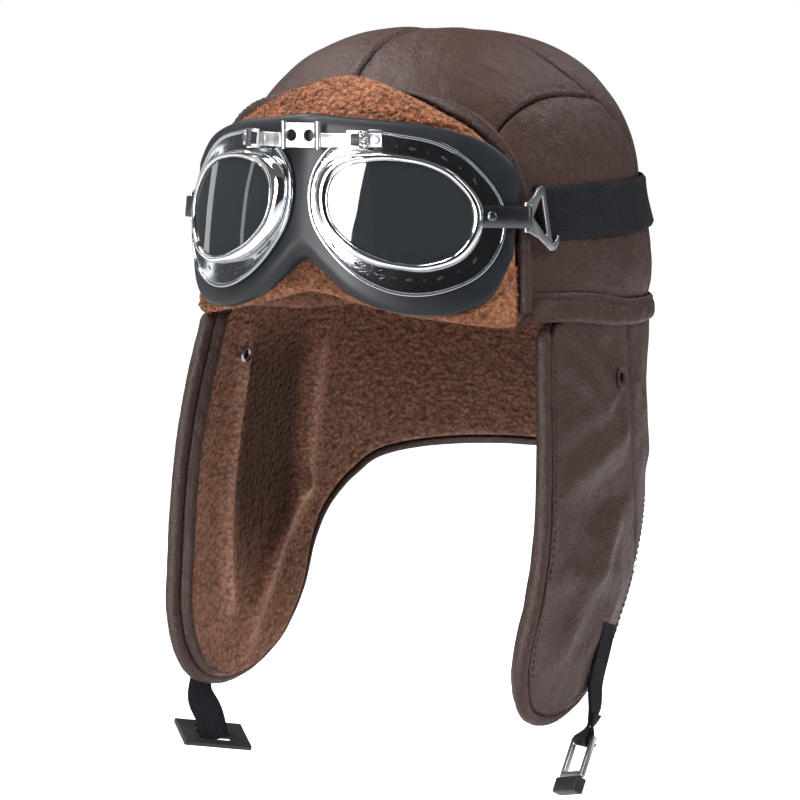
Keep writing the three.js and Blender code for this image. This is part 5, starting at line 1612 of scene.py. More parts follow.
@dataclass
class Visor:
    """Turned-up visor: fleece in front, leather behind, and a rolled edge."""

    deg: float = 50.0
    backing: Pair = (2.8, 1.3)
    fleece: float = 3.4
    swell: float = 4.0
    middle: float = 5.0
    rounding: float = 4.5
    span: Pair = (180.0, 100.0)
    binding_rows: Table = Table("deg radius depth out", [
        (0, 1.2, 1.6, -1.6), (14, 1.2, 1.6, -1.6), (20, 1.2, 1.6, 0), (25, 1.2, 1.6, 1.9), (31, 2.4, 3, 3.2),
        (37, 3.2, 4.2, 4), (50, 3.2, 4.2, 4)])
    foot: float = 3.5
    curls: int = 11000
    noise: Noise = Noise(53)

    def surface(self, u: Array, v: Array, off: Array | float, drop: float = 0.0) -> Array:
        """Points of the visor at a distance from the dome."""
        deg = lerp(-self.deg, self.deg, np.asarray(u, float))
        low, high = (FORM.visor_rows(key, np.abs(deg)) for key in ("low", "high"))
        return FORM.dome_at(deg, lerp(low, high - drop, v), off)

    def edge(self, u: Array, v: Array) -> Array:
        """Distance from the visor's edge."""
        return np.minimum(np.minimum(v, 1 - v) * self.span[1], np.minimum(u, 1 - u) * self.span[0])

    def front(self, u: Array, v: Array) -> Placed:
        """Curly face of the fleece."""
        spot = self.surface(u, v, self.middle)
        curl = self.noise.nubs(spot, 2.5)
        swell = 3.6 + 1.1 * curl + 0.7 * self.noise.value(spot, 15) + 0.5 * self.noise.value(spot, 6)
        swell = swell - 1.6 * self.pressed(spot)
        off = self.fleece + swell * rolled(self.edge(u, v), self.rounding)
        # The curls' height is kept as painted shade, darker between the curls and lighter on their tops
        return self.surface(u, v, off), {"tint": 0.4 + 0.5 * curl}

    def rear(self, u: Array, v: Array) -> Placed:
        """Back of the fleece."""
        return self.surface(u, v, self.fleece), {"tint": 0.2 + 0 * u}

    @staticmethod
    def pressed(spot: Array) -> Array:
        """How much the goggles' mask presses the fleece at points of it, from 0 to 1."""
        wide = np.abs(spot[:, 0]) * 1.04
        low, high = MASK_ROWS("low", wide), MASK_ROWS("high", wide)
        inside = np.minimum.reduce([spot[:, 2] - low, high - spot[:, 2], MASK_ROWS.keys[-1] - wide])
        return smoothstep(inside, -1.0, 2.5)

    def binding(self) -> tuple[Array, Array]:
        """Middle line of the rolled edge and its radius along it."""
        deg = self.deg
        rim = [(deg, self.foot), (deg, 22.0), (deg, 40.0)]
        while deg > 0:
            rim.append((deg, float(FORM.visor_rows("high", deg))))
            deg -= 2 if deg > 40 else 5
        rim.append((0.0, float(FORM.visor_rows("high", 0.0))))
        whole = np.array(rim + [(-d, z) for d, z in rim[-2::-1]])
        scale = math.radians(1) * FORM.half
        last = len(whole) - 1
        index = np.arange(last + 1)
        along = (whole[np.minimum(index + 1, last)] - whole[np.maximum(index - 1, 0)]) * [scale, 1]
        side = np.abs(whole[:, 0])
        out, depth, radius = (self.binding_rows(key, side) for key in ("out", "depth", "radius"))
        push = out / np.hypot(along[:, 0], along[:, 1])
        deg, z = whole[:, 0] + push * along[:, 1] / scale, whole[:, 1] - push * along[:, 0]
        middle = FORM.dome_at(deg, z, depth)
        both = Spline(np.column_stack([middle, radius])).at(np.linspace(0, 1, 420))
        return both[:, :3], both[:, 3]

    def build(self, finishes: Finishes, stitches: Stitching) -> None:
        """Makes and dresses the visor."""
        piece = shell("visor_fleece_face", 220, 126, self.front, self.rear, size=self.span)
        settle(piece, finishes.fleece, "fleece", "visor_fleece")

        def stand(u: Array, v: Array) -> Array:
            """Surface that the curls stand on."""
            return self.surface(u, v, self.fleece + self.swell * rolled(self.edge(u, v), self.rounding))

        def free(u: Array, v: Array) -> Array:
            """Curls keep out from under the goggles."""
            return self.pressed(self.surface(u, v, self.middle)) < 0.5
        settle(Pile().make("visor_curls", stand, self.curls, free), finishes.fleece, "fleece")

        def leather(off: float) -> Face:
            """One face of the leather behind the fleece."""
            def place(u: Array, v: Array) -> Placed:
                """Points of the face."""
                side = np.abs(lerp(-self.deg, self.deg, u))
                room = self.binding_rows("radius", side) + 0.3 - self.binding_rows("out", side)
                return self.surface(u, v, off, np.maximum(room, 0) + 0.3), {}
            return place
        outer, inner = (leather(off) for off in self.backing)
        piece = shell("visor_leather", 90, 50, outer, inner, size=self.span)
        settle(piece, finishes.shell, "leather", "visor_backing")
        path, radius = self.binding()
        steps = np.arange(len(path))
        wrinkle = 1 + 0.05 * self.noise.layered(path, 7)
        ends = rolled(np.minimum(steps, steps[::-1]) * 1.2, 2.4)
        rings = tube_rings(path, radius * wrinkle * np.maximum(ends, 0.05), 16, unit(path))
        piece = loft("visor_binding_leather", rings, False, 520, 20)
        settle(piece, finishes.rolled, "leather", "visor_binding")
        on = (path[:, 2] > 5) & (radius > 2.4)
        for side in (1, -1):
            pick = on & (path[:, 0] * side > 0)
            line = path[pick] + unit(path[pick]) * (radius[pick] * 0.97)[:, None]
            stitches.follow(line, unit(path[pick]))


@dataclass
class Goggles:
    """Goggles on the visor: mask, mirror plates, bezels, smoked lenses, nose bridge, tabs and hooks."""

    middle: Triple = (47.5, -108.0, 52.0)
    yaw: float = 24.0
    pitch: float = 6.0
    centre: float = -3.0
    bend: Pair = (160.0, -12.0)
    outline: Table = Table("deg glass bezel plate", [
        (0, 33, 37.6, 47), (30, 28, 32, 40.6), (60, 24, 27.3, 36.8), (90, 23, 26.5, 36), (120, 26.5, 31.5, 42),
        (150, 34, 41.5, 45), (180, 32.3, 38.6, 42), (210, 26, 31, 36.7), (240, 22, 26.6, 35.2),
        (270, 22.3, 25.5, 37), (300, 25.8, 30, 41), (330, 31.5, 36, 46.6)], turn=360)
    plate: Triple = (-1.2, 0.0, 0.9)
    bezel: Pair = (0.3, 5.2)
    lens: Pair = (2.3, 3.9)
    mask: Triple = (14.0, 9.0, 1.6)
    fleece: float = 8.2
    clear: float = 0.6
    hinge: Triple = (9.0, -121.2, 86.6)
    stations: int = 144
    noise: Noise = Noise(71)

    def __post_init__(self) -> None:
        """Sets the directions of the left eye."""
        yaw, pitch = math.radians(self.yaw), math.radians(self.pitch)
        self.out = np.array([math.cos(yaw), math.sin(yaw), 0])
        level = math.cos(pitch)
        self.face = np.array([math.sin(yaw) * level, -math.cos(yaw) * level, math.sin(pitch)])
        self.up = unit(np.cross(self.face, self.out))

    def sag(self, u: Array) -> Array:
        """How far the bent plate falls back."""
        return (u - self.bend[1]) ** 2 / (2 * self.bend[0])

    def eye(self, u: Array, v: Array, lift: Array) -> Array:
        """Points of the left eye: out from the nose, up, and forwards of the plate's bent face."""
        u, v, lift = (np.asarray(a, float)[..., None] for a in np.broadcast_arrays(u, v, lift))
        return np.array(self.middle) + u * self.out + v * self.up + (lift - self.sag(u)) * self.face

    def rim(self, deg: Array, radius: Array, lift: Array) -> Array:
        """Points of the left eye by direction and distance."""
        turn = np.radians(deg)
        return self.eye(self.centre + radius * np.cos(turn), radius * np.sin(turn), lift)

    def hoop(self, name: str, section: Callable[[Array], list[tuple[Array, float]]], side: int) -> Piece:
        """Hoop around an eye.

        Args:
            name: The piece's name.
            section: Gives distances and lifts round the section, by direction.
            side: -1 for the right eye.

        Returns:
            The new object.
        """
        deg = np.arange(self.stations) * 360 / self.stations
        rings = np.stack([self.rim(deg, radius, lift) for radius, lift in section(deg)], axis=1)
        return loft(name, rings * [side, 1, 1], True, sharp_deg=50)

    def radius(self, name: str, deg: Array) -> Array:
        """Outline of the glass, the bezel or the plate by direction."""
        return self.outline(name, np.asarray(deg, float) % 360)

    def plate_section(self, deg: Array) -> list[tuple[Array, float]]:
        """Section of the plate: a flat ring with a rounded bead along its rim."""
        back, front, bead = self.plate
        inner, outer = self.radius("glass", deg) - 0.4, self.radius("plate", deg)
        round_rim = ((-0.4, back), (0, back + 0.4), (0.1, -0.1), (-0.05, bead * 0.6), (-0.4, bead),
                     (-0.9, bead + 0.05), (-1.3, bead * 0.7), (-1.6, front + 0.12), (-2.1, front))
        flat = [(lerp(outer - 2.1, inner, s), front) for s in (0.25, 0.5, 0.75, 1.0)]
        return [(inner, back), *((outer + out, lift) for out, lift in round_rim), *flat]

    def bezel_section(self, deg: Array) -> list[tuple[Array, float]]:
        """Section of the bezel: a domed ring with a thin lip at the glass."""
        foot, crest_lift = self.bezel
        glass, outer = self.radius("glass", deg), self.radius("bezel", deg)
        crest = lerp(glass, outer, 0.42)
        turns = np.radians([0, 12, 26, 40, 54, 68, 80, 90])
        outside = [(lerp(crest, outer, math.cos(a)), lerp(foot + 0.3, crest_lift, math.sin(a))) for a in turns]
        slope = [(lerp(crest, glass, s), crest_lift - drop) for s, drop in ((0.35, 0.12), (0.7, 0.5))]
        lip = [(glass + out, crest_lift - drop)
               for out, drop in ((0.45, 0.75), (0.25, 0.55), (0.05, 0.6), (-0.05, 0.85))]
        under = [(glass, 4.2), (glass + 1.4, 4.2)]
        return [(glass + 1.4, foot), (outer - 0.2, foot), *outside, *slope, *lip, *under]

    def lens_face(self, lift: float, swell: float, side: int) -> Face:
        """One face of a lens."""
        def place(u: Array, v: Array) -> Placed:
            """Points of the face."""
            share = 1 - v
            reach = (self.radius("glass", 360 * u) + 1) * share
            return self.rim(360 * u, reach, lift + swell * (1 - share ** 2)) * [side, 1, 1], {}
        return place

    def vents(self, side: int, word: str) -> Piece:
        """Black vent slots and dots pressed into the plate beside the bezel; their black is painted shade
        inside the pits.
        """
        mirror = np.array([side, 1, 1])
        spots = [(deg, 1.0) for deg in (24, 52, 80, 108, 150, 206, 230, 254, 278, 302, 328)]
        spots += [(deg, 0.25) for deg in (38, 66, 94, 218, 242, 266, 290, 315)]
        paths = []
        for deg, size in spots:
            middle = lerp(float(self.radius("bezel", deg)), float(self.radius("plate", deg)), 0.34)
            span = np.linspace(-2.2, 2.2, 6) * size / middle
            paths.append(self.rim(deg + np.degrees(span), np.full(6, middle), np.full(6, -0.55)) * mirror)
        wide = np.broadcast_to([0, 0.8, 0.8, 0.8, 0.8, 0], (len(paths), 6))
        ups = np.broadcast_to(self.face * mirror, (len(paths), 6, 3))
        return strands(f"eye_plate_vents_{word}", np.array(paths), wide, 8, ups, np.ones(len(paths)))

    def mask_face(self, front: bool) -> Face:
        """Front or back face of the rubber mask."""
        half = MASK_ROWS.keys[-1]
        seat = self.plate[0] - 0.3

        def ahead(x: Array, z: Array) -> Array:
            """Points of the dome straight ahead."""
            near, far = np.zeros_like(x), np.full_like(x, FAR)
            for _ in range(HALVINGS):
                y = (near + far) / 2
                inside = FORM.share(points(x, -y, z), self.mask[0]) < 1
                near, far = np.where(inside, y, near), np.where(inside, far, y)
            return points(x, -near, z)

        def plate_reach(direction: Array) -> Array:
            """Distance at which directions reach the back of the eye plate."""
            sag = np.zeros(len(direction))
            for _ in range(8):
                reach = (np.dot(self.middle, self.face) + seat - sag) / (direction @ self.face)
                sag = self.sag((direction * reach[:, None] - self.middle) @ self.out)
            return reach

        def place(u: Array, v: Array) -> Placed:
            """Points of the face."""
            x = half * np.sin(np.radians(lerp(-90, 90, u)))
            wide = np.hypot(x, 5.0)
            low, high = MASK_ROWS("low", wide), MASK_ROWS("high", wide)
            z = lerp(low, high, 0.5 - 0.5 * np.cos(np.pi * v))
            guide = ahead(wide, z)
            direction = unit(guide)
            base = np.linalg.norm(FORM.on_dome(guide, self.fleece + self.clear), axis=-1)
            edge = np.minimum.reduce([z - low, high - z, half - np.abs(x)])
            rise = rolled(edge, self.mask[1])
            crest = base + self.mask[2]
            level = lerp(crest, np.maximum(plate_reach(direction), crest), rise)
            level = lerp(base + 0.4, level, rolled(edge, 1.4))
            reach = level if front else base
            return direction * reach[:, None] * points(x / wide, 1, 1), {}
        return place

    def opening(self, side: int) -> Piece:
        """Tool that opens the mask behind a lens."""
        deg = np.arange(60) * 6.0
        radius = self.radius("glass", deg) + 1.5
        rings = np.stack([self.rim(deg, radius, np.full(60, lift)) for lift in (-40.0, 6.0)])
        return loft("opening", rings * [side, 1, 1], False)

    def strip(self, name: str, path: Array, low: float, high: float, thick: float, side: int) -> Piece:
        """Flat strip with rounded edges along a path on the eye plate.

        Args:
            name: The piece's name.
            path: Places out from the nose and lifts off the plate.
            low: Height of its lower edge.
            high: Height of its upper edge.
            thick: Its thickness.
            side: -1 for the right eye.

        Returns:
            The new object.
        """
        run = unit(np.gradient(path, axis=0))
        across = np.stack([-run[:, 1], run[:, 0]], axis=-1) * thick / 2
        b = min(0.35, thick * 0.35)
        corners = [(1, low + b), (1, high - b), (0.5, high), (-0.5, high), (-1, high - b), (-1, low + b),
                   (-0.5, low), (0.5, low)]
        rings = np.stack([self.eye(path[:, 0] + k * across[:, 0], v, path[:, 1] + k * across[:, 1])
                          for k, v in corners], axis=1)
        return loft(name, rings * [side, 1, 1], False, sharp_deg=50)

    def pin(self, name: str, profile: Sequence[Pair], u: float, v: float, lift: float,
            side: int) -> Piece:
        """Turned head that stands on the eye plate."""
        slope = math.atan((u - self.bend[1]) / self.bend[0])
        out = (self.face * math.cos(slope) + self.out * math.sin(slope)) * [side, 1, 1]
        return turned(name, profile, self.eye(u, v, lift) * [side, 1, 1], out, 32)

    def build(self, finishes: Finishes) -> None:
        """Makes and dresses the goggles."""
        mask = shell("goggle_mask_body", 160, 72, self.mask_face(True), self.mask_face(False), size=(180, 85))
        for side in (1, -1):
            cut_away(mask, self.opening(side))
        mask.data.set_sharp_from_angle(angle=math.radians(55))
        settle(mask, finishes.rubber, "mask_rubber", "goggle_mask")
        for side, word in SIDES:
            settle(self.hoop(f"eye_plate_rim_{word}", self.plate_section, side), finishes.plate, "chrome",
                   f"eye_plate_{word}")
            # The vents' black finish is painted shade inside the pits
            settle(self.vents(side, word), finishes.black_thread, "chrome")
            settle(self.hoop(f"bezel_ring_{word}", self.bezel_section, side), finishes.chrome, "chrome",
                   f"bezel_{word}")
            glass = shell(f"lens_glass_{word}", 120, 14, self.lens_face(self.lens[1], 0.9, side),
                          self.lens_face(self.lens[0], 0.6, side), bowl=True)
            settle(glass, finishes.glass, "smoked_glass", f"lens_{word}")
            self.bridge(finishes, side, word)
            self.hooks(finishes, side, word)
        settle(self.link(), finishes.satin, "chrome", "bridge_link")

    @staticmethod
    def link() -> Piece:
        """Plate between the pins with a half-round notch beside each of them."""
        low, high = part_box("bridge_link")
        middle, size = (Vector(low) + Vector(high)) / 2, Vector(high) - Vector(low)
        work = bmesh.new()
        bmesh.ops.create_cube(work, size=1.0)
        bmesh.ops.scale(work, vec=size, verts=work.verts)
        bmesh.ops.translate(work, vec=middle, verts=work.verts)
        bmesh.ops.bevel(work, geom=work.edges[:], offset=0.35 * MM, segments=3, affect="EDGES", profile=0.5)
        plate = finish_mesh("bridge_link_plate", poured(work, "bridge_link_plate"), 40)
        notch, forwards = [(0, -6), (2.8, -6), (2.8, 6), (0, 6)], np.array([0, -1.0, 0])
        for side in (1, -1):
            place = np.array(middle) / MM + [4.6 * side, 0, 0]
            cut_away(plate, turned("notch", notch, place, forwards, 36))
        plate.data.set_sharp_from_angle(angle=math.radians(40))
        return plate

    def bridge(self, finishes: Finishes, side: int, word: str) -> None:
        """Pin, arm, clamp and screw of one half of the nose bridge."""
        at = np.array(self.hinge)
        profile = [(0, -6.4), (0.9, -6.4), (1.3, -6.1), (1.3, 6.1), (0.9, 6.4), (0, 6.4)]
        piece = turned(f"bridge_pin_rod_{word}", profile, at * [side, 1, 1], np.array([0, 0, 1.0]), 28)
        settle(piece, finishes.steel, "chrome", f"bridge_pin_{word}")
        start = at + [1.6, 0, 0] - np.array(self.middle)
        u0 = float(start @ self.out)
        lift0 = float(start @ self.face + self.sag(u0))
        bends = np.array([(u0, lift0), (-34, 2), (-28, 1.9), (-20, 1.9), (-11.6, 1.9)])
        arm = Spline(bends).at(np.linspace(0, 1, 40))
        clamp = np.array([(lerp(-27, -17.5, t), 4.0) for t in np.linspace(0, 1, 8)])
        window = np.array([(lerp(-25.6, -21.4, t), 5.1) for t in np.linspace(0, 1, 6)])
        for kind, path, low, high, thick, finish, nodes in (
                ("bridge_arm_strip", arm, 29.4, 35.8, 1.2, finishes.satin, [f"bridge_arm_{word}"]),
                ("bridge_clamp_block", clamp, 28.1, 37.1, 2.4, finishes.chrome, [f"bridge_clamp_{word}"]),
                ("bridge_clamp_window", window, 29.8, 35.4, 0.5, finishes.plastic, [])):
            settle(self.strip(f"{kind}_{word}", path, low, high, thick, side), finish, "chrome", *nodes)
        head = [(0, 0), (1.9, 0), (1.9, 0.8), (1.6, 1.15), (0.5, 1.2), (0.45, 0.75), (0, 0.75)]
        settle(self.pin(f"bridge_screw_head_{word}", head, -14.4, 32.6, 2.8, side), finishes.steel, "chrome",
               f"bridge_screw_{word}")

    def hooks(self, finishes: Finishes, side: int, word: str) -> None:
        """Tab, rivet and strap hook of one side."""
        u, v, lift, curl = 52.8, -1.0, -0.8, 2.3
        slope = math.atan((u - self.bend[1]) / self.bend[0])
        turn = np.radians(np.linspace(90, -150, 22)) - slope
        bend = np.column_stack([u + curl * np.cos(turn), curl * np.sin(turn)])
        bend[:, 1] += lift + self.sag(bend[:, 0]) - self.sag(u)
        flat = np.column_stack([np.linspace(34, 50, 12), np.linspace(1.8, 1.65, 12)])
        tab = self.strip(f"strap_tab_strip_{word}", np.vstack([flat, bend]), v - 5, v + 5, 1.0, side)
        settle(tab, finishes.dark_steel, "chrome", f"strap_tab_{word}")
        head = [(0, 0), (2.5, 0), (2.45, 0.35), (1.9, 0.95), (0.8, 1.2), (0, 1.22)]
        settle(self.pin(f"rivet_head_{word}", head, 38.0, v, 2.7, side), finishes.dark_steel, "chrome",
               f"rivet_{word}")
        hook = merged_copy(f"strap_hook_plate_{word}", f"strap_hook_{word}", 0.45, 3)
        settle(hook, finishes.steel, "chrome", f"strap_hook_{word}")


@dataclass
class GoggleStrap:
    """Elastic strap round the crown, doubled where it is sewn round the hooks."""

    rows: Table = Table("deg z off", [
        (58, 50.3, 1.2), (63, 50.1, 1), (69, 50, 1), (76, 49.8, 1.1), (90, 49.5, 1.2), (115, 49.5, 1.3),
        (150, 51, 1.4), (180, 52, 1.2)])
    start: float = 58.0
    width: float = 25.0
    thick: float = 1.6
    doubled: float = 66.5
    per_degree: float = 1.75

    def face(self, outer: bool) -> Face:
        """One face of the strap."""
        def place(u: Array, v: Array) -> Placed:
            """Points of the face."""
            deg = lerp(self.start, 360 - self.start, u)
            side = np.minimum(deg, 360 - deg)
            z = self.rows("z", side) + (v - 0.5) * self.width
            edge = rolled(np.minimum(v, 1 - v) * self.width, 0.9) * 0.7 + 0.3
            end = rolled((side - self.start) * self.per_degree, 1.6)
            extra = 1.5 * (1 - smoothstep(side, self.doubled - 0.5, self.doubled + 0.3))
            pull = hump((side - self.doubled + 1.4) * self.per_degree, 0.6) * 0.5
            level = np.maximum((self.thick + extra - pull) * edge * end, 0.02) if outer else 0
            return FORM.dome_at(deg, z, self.rows("off", side) + level), {}
        return place

    def build(self, finishes: Finishes) -> None:
        """Makes and dresses the strap."""
        piece = shell("goggle_strap_elastic", 360, 14, self.face(True), self.face(False), size=(430, 25))
        settle(piece, finishes.webbing, "webbing", "goggle_strap")
        rows = Stitching(2.6, 2.0, 0.28)
        v = np.linspace(0.06, 0.94, 60)
        for shift in (0.0, 1.1):
            deg = np.full_like(v, self.doubled - 1.4 - shift)
            line = self.face(True)((deg - self.start) / (360 - 2 * self.start), v)[0]
            out = unit(line * [1, 1, 0])
            rows.follow(line + out * 0.1, out, both_sides=True)
        settle(rows.make("goggle_strap_stitching"), finishes.black_thread, "webbing")


@dataclass(frozen=True)
class Bar:
    """Bar that a strap is looped round.

    Attributes:
        centre: Middle of the bar.
        front: Direction of the side where the strap comes down.
        down: Direction in which the strap goes round it.
        reach: Distance of the strap's middle in front of the bar's.
        drop: The same below it.
        width: Width of the strap there.
        tail: Length of the strap's end behind it.
    """

    centre: tuple
    front: tuple
    down: tuple
    reach: float
    drop: float
    width: float
    tail: float


@dataclass
class ChinStraps:
    """Chin straps with their buckle and slider."""

    width: float = 15.0
    thick: float = 1.5
    left: tuple = (((99.19, 0.5, -150), (0, 1, -0.25)), ((97.62, -3.5, -164), (0, 1, -0.25)),
                   ((96.12, -8, -178), (0, 1, -0.25)), ((97.2, -11.5, -190), (-0.1, 1, -0.25)),
                   ((95.4, -15.4, -198.5), (-0.45, 0.8, -0.26)),
                   ((93.3, -18.86, -203.15), (-0.84, 0.48, -0.26)))
    buckle: Bar = Bar((94.51, -17.33, -204.25), (-0.541, -0.682, 0.491), (-0.06, -0.55, -0.83),
                      2.25, 2.45, 12.4, 14)
    right: tuple = (((-101.94, -47, -156), (0, 1, 0.3)), ((-98.4, -53, -170), (0.05, 1, 0.25)),
                    ((-96.67, -59, -184), (0.15, 1, 0.1)), ((-97.2, -59.5, -195), (0.35, 0.95, 0)),
                    ((-95.6, -54, -206), (0.5, 0.85, -0.1)),
                    ((-94.52, -50.84, -218.48), (0.602, 0.777, -0.181)))
    slider: Bar = Bar((-96.6, -49, -217.5), (0.706, -0.625, -0.331), (-0.37, 0.0715, -0.925),
                      2.95, 2.25, 15, 9)

    def strap(self, name: str, rows: Sequence, bar: Bar, side: int, stitches: Stitching) -> Piece:
        """One strap with rounded edges.

        Args:
            name: The piece's name.
            rows: Places and directions of its width, the last in front of the bar.
            bar: What it is looped round.
            side: -1 on the wearer's right.
            stitches: Gathers its stitches.

        Returns:
            The new object.
        """
        both = Spline(np.array([(*place, *wide) for place, wide in rows], float)).at(np.linspace(0, 1, 90))
        path, wide, face = self.flat(both[:, :3], both[:, 3:])
        centre, front, down = (np.array(v) for v in (bar.centre, bar.front, bar.down))
        behind = -face * np.sign(face[-1] @ front)
        turn = np.radians(np.linspace(15, 165, 11))[:, None]
        gone = np.concatenate([[0], np.cumsum(np.linalg.norm(np.diff(path[::-1], axis=0), axis=1))])
        gap = 1.7 + (2 * bar.reach - 1.7) * smoothstep(gone, 9, 0)
        end = int(np.searchsorted(gone, bar.tail))
        loop = centre + front * bar.reach * np.cos(turn) + down * bar.drop * np.sin(turn)
        path = np.concatenate([path, loop, (path[::-1] + behind[::-1] * gap[:, None])[:end]])
        wide = np.concatenate([wide, np.repeat(wide[-1:], 11, axis=0), wide[::-1][:end]])
        path, wide, face = self.flat(path, wide)
        near = smoothstep(np.linalg.norm(path - centre, axis=1), 10, 3)[:, None]
        w, h = self.width / 2, self.thick / 2
        corners = [(w - 0.4, h), (0.5 * w, h), (0, h), (-0.5 * w, h), (0.4 - w, h), (-w, 0.4 * h),
                   (-w, -0.4 * h), (0.4 - w, -h), (0, -h), (w - 0.4, -h), (w, -0.4 * h), (w, 0.4 * h)]
        slim = 1 - near * (1 - bar.width / self.width)
        rings = np.stack([path + wide * a * slim + face * b for a, b in corners], axis=1)
        out = face * np.sign((face * [side, 0, 0]).sum(axis=1, keepdims=True))
        skin = path + out * (h + 0.02)
        box = [(4, w - 1.8), (24, w - 1.8), (24, 1.8 - w), (4, 1.8 - w)]
        for (i0, a0), (i1, a1) in [*zip(box, box[1:] + box[:1]), (box[0], box[2]), (box[1], box[3])]:
            i = np.linspace(i0, i1, 24)
            at, across, normal = (
                np.stack([np.interp(i, np.arange(len(v)), v[:, k]) for k in range(3)], axis=-1)
                for v in (skin, wide, out))
            stitches.follow(at + across * np.linspace(a0, a1, 24)[:, None], normal)
        length = np.linalg.norm(np.diff(path, axis=0), axis=1).sum()
        return loft(name, rings, False, length, 33, sharp_deg=50)

    @staticmethod
    def flat(path: Array, wide: Array) -> tuple[Array, Array, Array]:
        """Path of a strap with square directions of its width and its face."""
        run = unit(np.gradient(path, axis=0))
        wide = unit(wide - run * (wide * run).sum(axis=1, keepdims=True))
        return path, wide, np.cross(run, wide)

    def build(self, finishes: Finishes) -> None:
        """Makes and dresses the chin straps."""
        rows = Stitching(2.4, 1.9, 0.25)
        for (side, word), line, bar in zip(SIDES, (self.left, self.right), (self.buckle, self.slider)):
            piece = self.strap(f"chin_strap_web_{word}", line, bar, side, rows)
            settle(piece, finishes.webbing, "webbing", f"chin_strap_{word}")
        settle(rows.make("chin_strap_stitching"), finishes.black_thread, "webbing")
        for name, node, bevel, finish, slot in (
                ("chin_buckle_frame", "chin_buckle_left", 0.7, finishes.steel, "chrome"),
                ("chin_buckle_block", "chin_buckle_grip", 0.8, finishes.plastic, "black_plastic"),
                ("chin_slider_frame", "chin_slider_right", 0.6, finishes.plastic, "black_plastic")):
            settle(merged_copy(name, node, bevel, 4), finish, slot, node)


# Studio

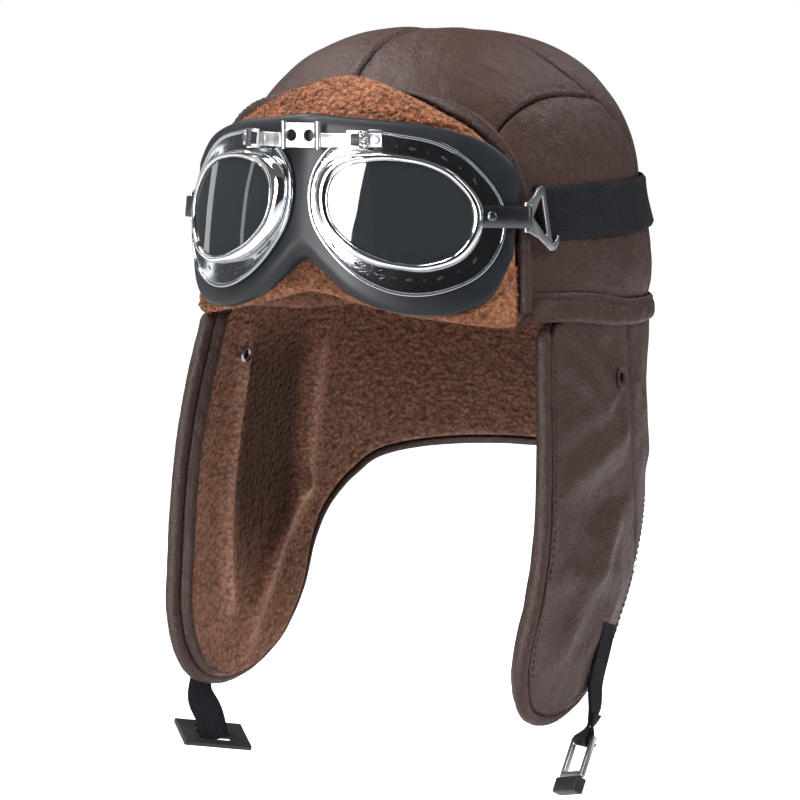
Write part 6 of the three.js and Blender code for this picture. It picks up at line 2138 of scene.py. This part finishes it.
@dataclass
class Studio:
    """Pale floor and backdrop, soft lights, and the camera of the photograph."""

    azimuth: float = 29.0
    elevation: float = 7.2
    distance: float = 1.4
    lens: float = 127.9
    shift: Pair = (-0.014, -0.047)
    floor_z: float = -0.34
    air: float = 0.08
    gloss: float = 0.12

    def direction(self, azimuth: float, elevation: float) -> Vector:
        """Direction from the hat towards a place round it."""
        a, e = math.radians(azimuth), math.radians(elevation)
        return Vector((math.sin(a) * math.cos(e), -math.cos(a) * math.cos(e), math.sin(e)))

    def camera(self) -> None:
        """Camera of the photograph."""
        back = self.direction(self.azimuth, self.elevation)
        right = Vector((math.cos(math.radians(self.azimuth)), math.sin(math.radians(self.azimuth)), 0))
        up = back.cross(right)
        target = right * self.shift[0] + up * self.shift[1]
        data = bpy.data.cameras.new("camera")
        data.lens, data.sensor_width, data.clip_start = self.lens, 36.0, 0.05
        view = placed("camera", data)
        view.location = target + back * self.distance
        view.rotation_euler = back.to_track_quat("Z", "Y").to_euler()
        bpy.context.scene.camera = view

    def light(self, name: str, azimuth: float, elevation: float, distance: float, size: Pair,
              watts: float, roll: float = 0.0) -> Piece:
        """Soft rectangular light that looks at the hat.

        Args:
            name: Its name.
            azimuth: Where it stands round the hat, in degrees from the front towards the wearer's left.
            elevation: How high it stands, in degrees.
            distance: How far away, in metres.
            size: Width and height in metres.
            watts: Its power.
            roll: How far it is turned about its own direction, in degrees.

        Returns:
            The light.
        """
        data = bpy.data.lights.new(name, "AREA")
        data.shape, data.size, data.size_y, data.energy = "RECTANGLE", *size, watts
        back = self.direction(azimuth, elevation)
        lamp = placed(name, data)
        lamp.location = back * distance
        turn = back.to_track_quat("Z", "Y").to_matrix() @ Matrix.Rotation(math.radians(roll), 3, "Z")
        lamp.rotation_euler = turn.to_euler()
        return lamp

    @staticmethod
    def board(name: str, work: bmesh.types.BMesh, noise: Pair, greys: Pair,
              rough: Pair) -> tuple[Piece, Nodes, bpy.types.Node]:
        """Matt, faintly uneven board of the studio.

        Args:
            name: Its name.
            work: Its faces.
            noise: Scale and detail of the unevenness.
            greys: Darkest and lightest grey.
            rough: Least and most roughness.

        Returns:
            The board, its material's nodes and its shader.
        """
        material, nodes, shader = new_material(name)
        shade = nodes.noise(nodes.objects(), *noise)
        dark, light = ((grey, grey, grey) for grey in greys)
        nodes.feed(shader, {"Base Color": nodes.blend(shade, dark, light),
                            "Roughness": nodes.span(shade, 0, 1, *rough)})
        board = placed(name, poured(work, name))
        board.data.materials.append(material)
        return board, nodes, shader

    def backdrop(self) -> None:
        """Floor that is far wider than the view."""
        work = bmesh.new()
        bmesh.ops.create_circle(work, cap_ends=True, radius=6.0, segments=96)
        bmesh.ops.translate(work, vec=(0, 0, self.floor_z), verts=work.verts)
        _, nodes, shader = self.board("studio_floor", work, (3.0, 4.0), (0.93, 0.96), (0.8, 0.95))
        nodes.feed(shader, {"Emission Color": (1, 1, 1, 1), "Emission Strength": self.by_ray(nodes)})

    def by_ray(self, nodes: Nodes) -> Socket:
        """Strength of the pale surroundings: white to the camera, dim to gloss and to everything else."""
        path = nodes.add("ShaderNodeLightPath")
        dim = nodes.span(path.outputs["Is Glossy Ray"], 0, 1, self.air, self.gloss)
        return nodes.span(path.outputs["Is Camera Ray"], 0, 1, dim, 1.0)

    def flag(self) -> None:
        """Black card behind the camera that only gloss sees, as a studio sets against bright metal."""
        work = bmesh.new()
        bmesh.ops.create_grid(work, x_segments=1, y_segments=1, size=0.5)
        back = self.direction(42, 6)
        turn = back.to_track_quat("Z", "Y").to_matrix()
        bmesh.ops.scale(work, vec=(2.1, 2.2, 1), verts=work.verts)
        bmesh.ops.rotate(work, cent=(0, 0, 0), matrix=turn, verts=work.verts)
        bmesh.ops.translate(work, vec=back * 2.0, verts=work.verts)
        card, *_ = self.board("studio_flag", work, (2.0, 3.0), (0.01, 0.03), (0.9, 1.0))
        card.visible_camera = card.visible_diffuse = card.visible_shadow = False

    def build(self) -> None:
        """Sets the studio up."""
        self.camera()
        self.backdrop()
        self.flag()
        self.light("window", -5.6, 4.0, 1.5, (0.5, 1.15), 40, roll=-27.0).visible_diffuse = False
        self.light("front_fill", 58.0, 40.0, 1.7, (0.5, 0.5), 11).visible_glossy = False
        for lamp in (("key", -38.0, 52.0, 1.6, (0.6, 0.6), 18), ("overhead", -34.0, 79.0, 1.6, (0.4, 0.4), 8),
                     ("crown_rim", -112.0, 50.0, 1.8, (0.5, 0.5), 9),
                     ("left_strip", -68.0, 12.0, 1.8, (0.07, 1.7), 1),
                     ("far_left_strip", -96.0, 12.0, 1.8, (0.16, 1.7), 2),
                     ("right_fill", 105.0, 25.0, 1.8, (0.4, 1.5), 6),
                     ("rear_fill", 165.0, 40.0, 2.0, (0.6, 0.9), 7)):
            self.light(*lamp)
        world = bpy.data.worlds.new("studio_air")
        world.use_nodes = True
        air = Nodes(world.node_tree)
        air.feed(world.node_tree.nodes["Background"], {0: (1, 1, 1, 1), 1: self.by_ray(air)})
        bpy.context.scene.world = world
        bpy.context.scene.view_settings.view_transform = "Standard"


def main() -> None:
    """Builds the hat piece by piece in the studio."""
    logging.basicConfig(level=logging.INFO, format="%(message)s")
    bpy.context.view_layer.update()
    Studio().build()
    finishes = Finishes()
    stitches = Stitching()
    for part in (Crown(), Band(), Skirt(), Visor()):
        part.build(finishes, stitches)
    settle(stitches.make("shell_stitching"), finishes.thread, "leather")
    for part in (Goggles(), GoggleStrap(), ChinStraps()):
        part.build(finishes)


if __name__ == "__main__":
    main()
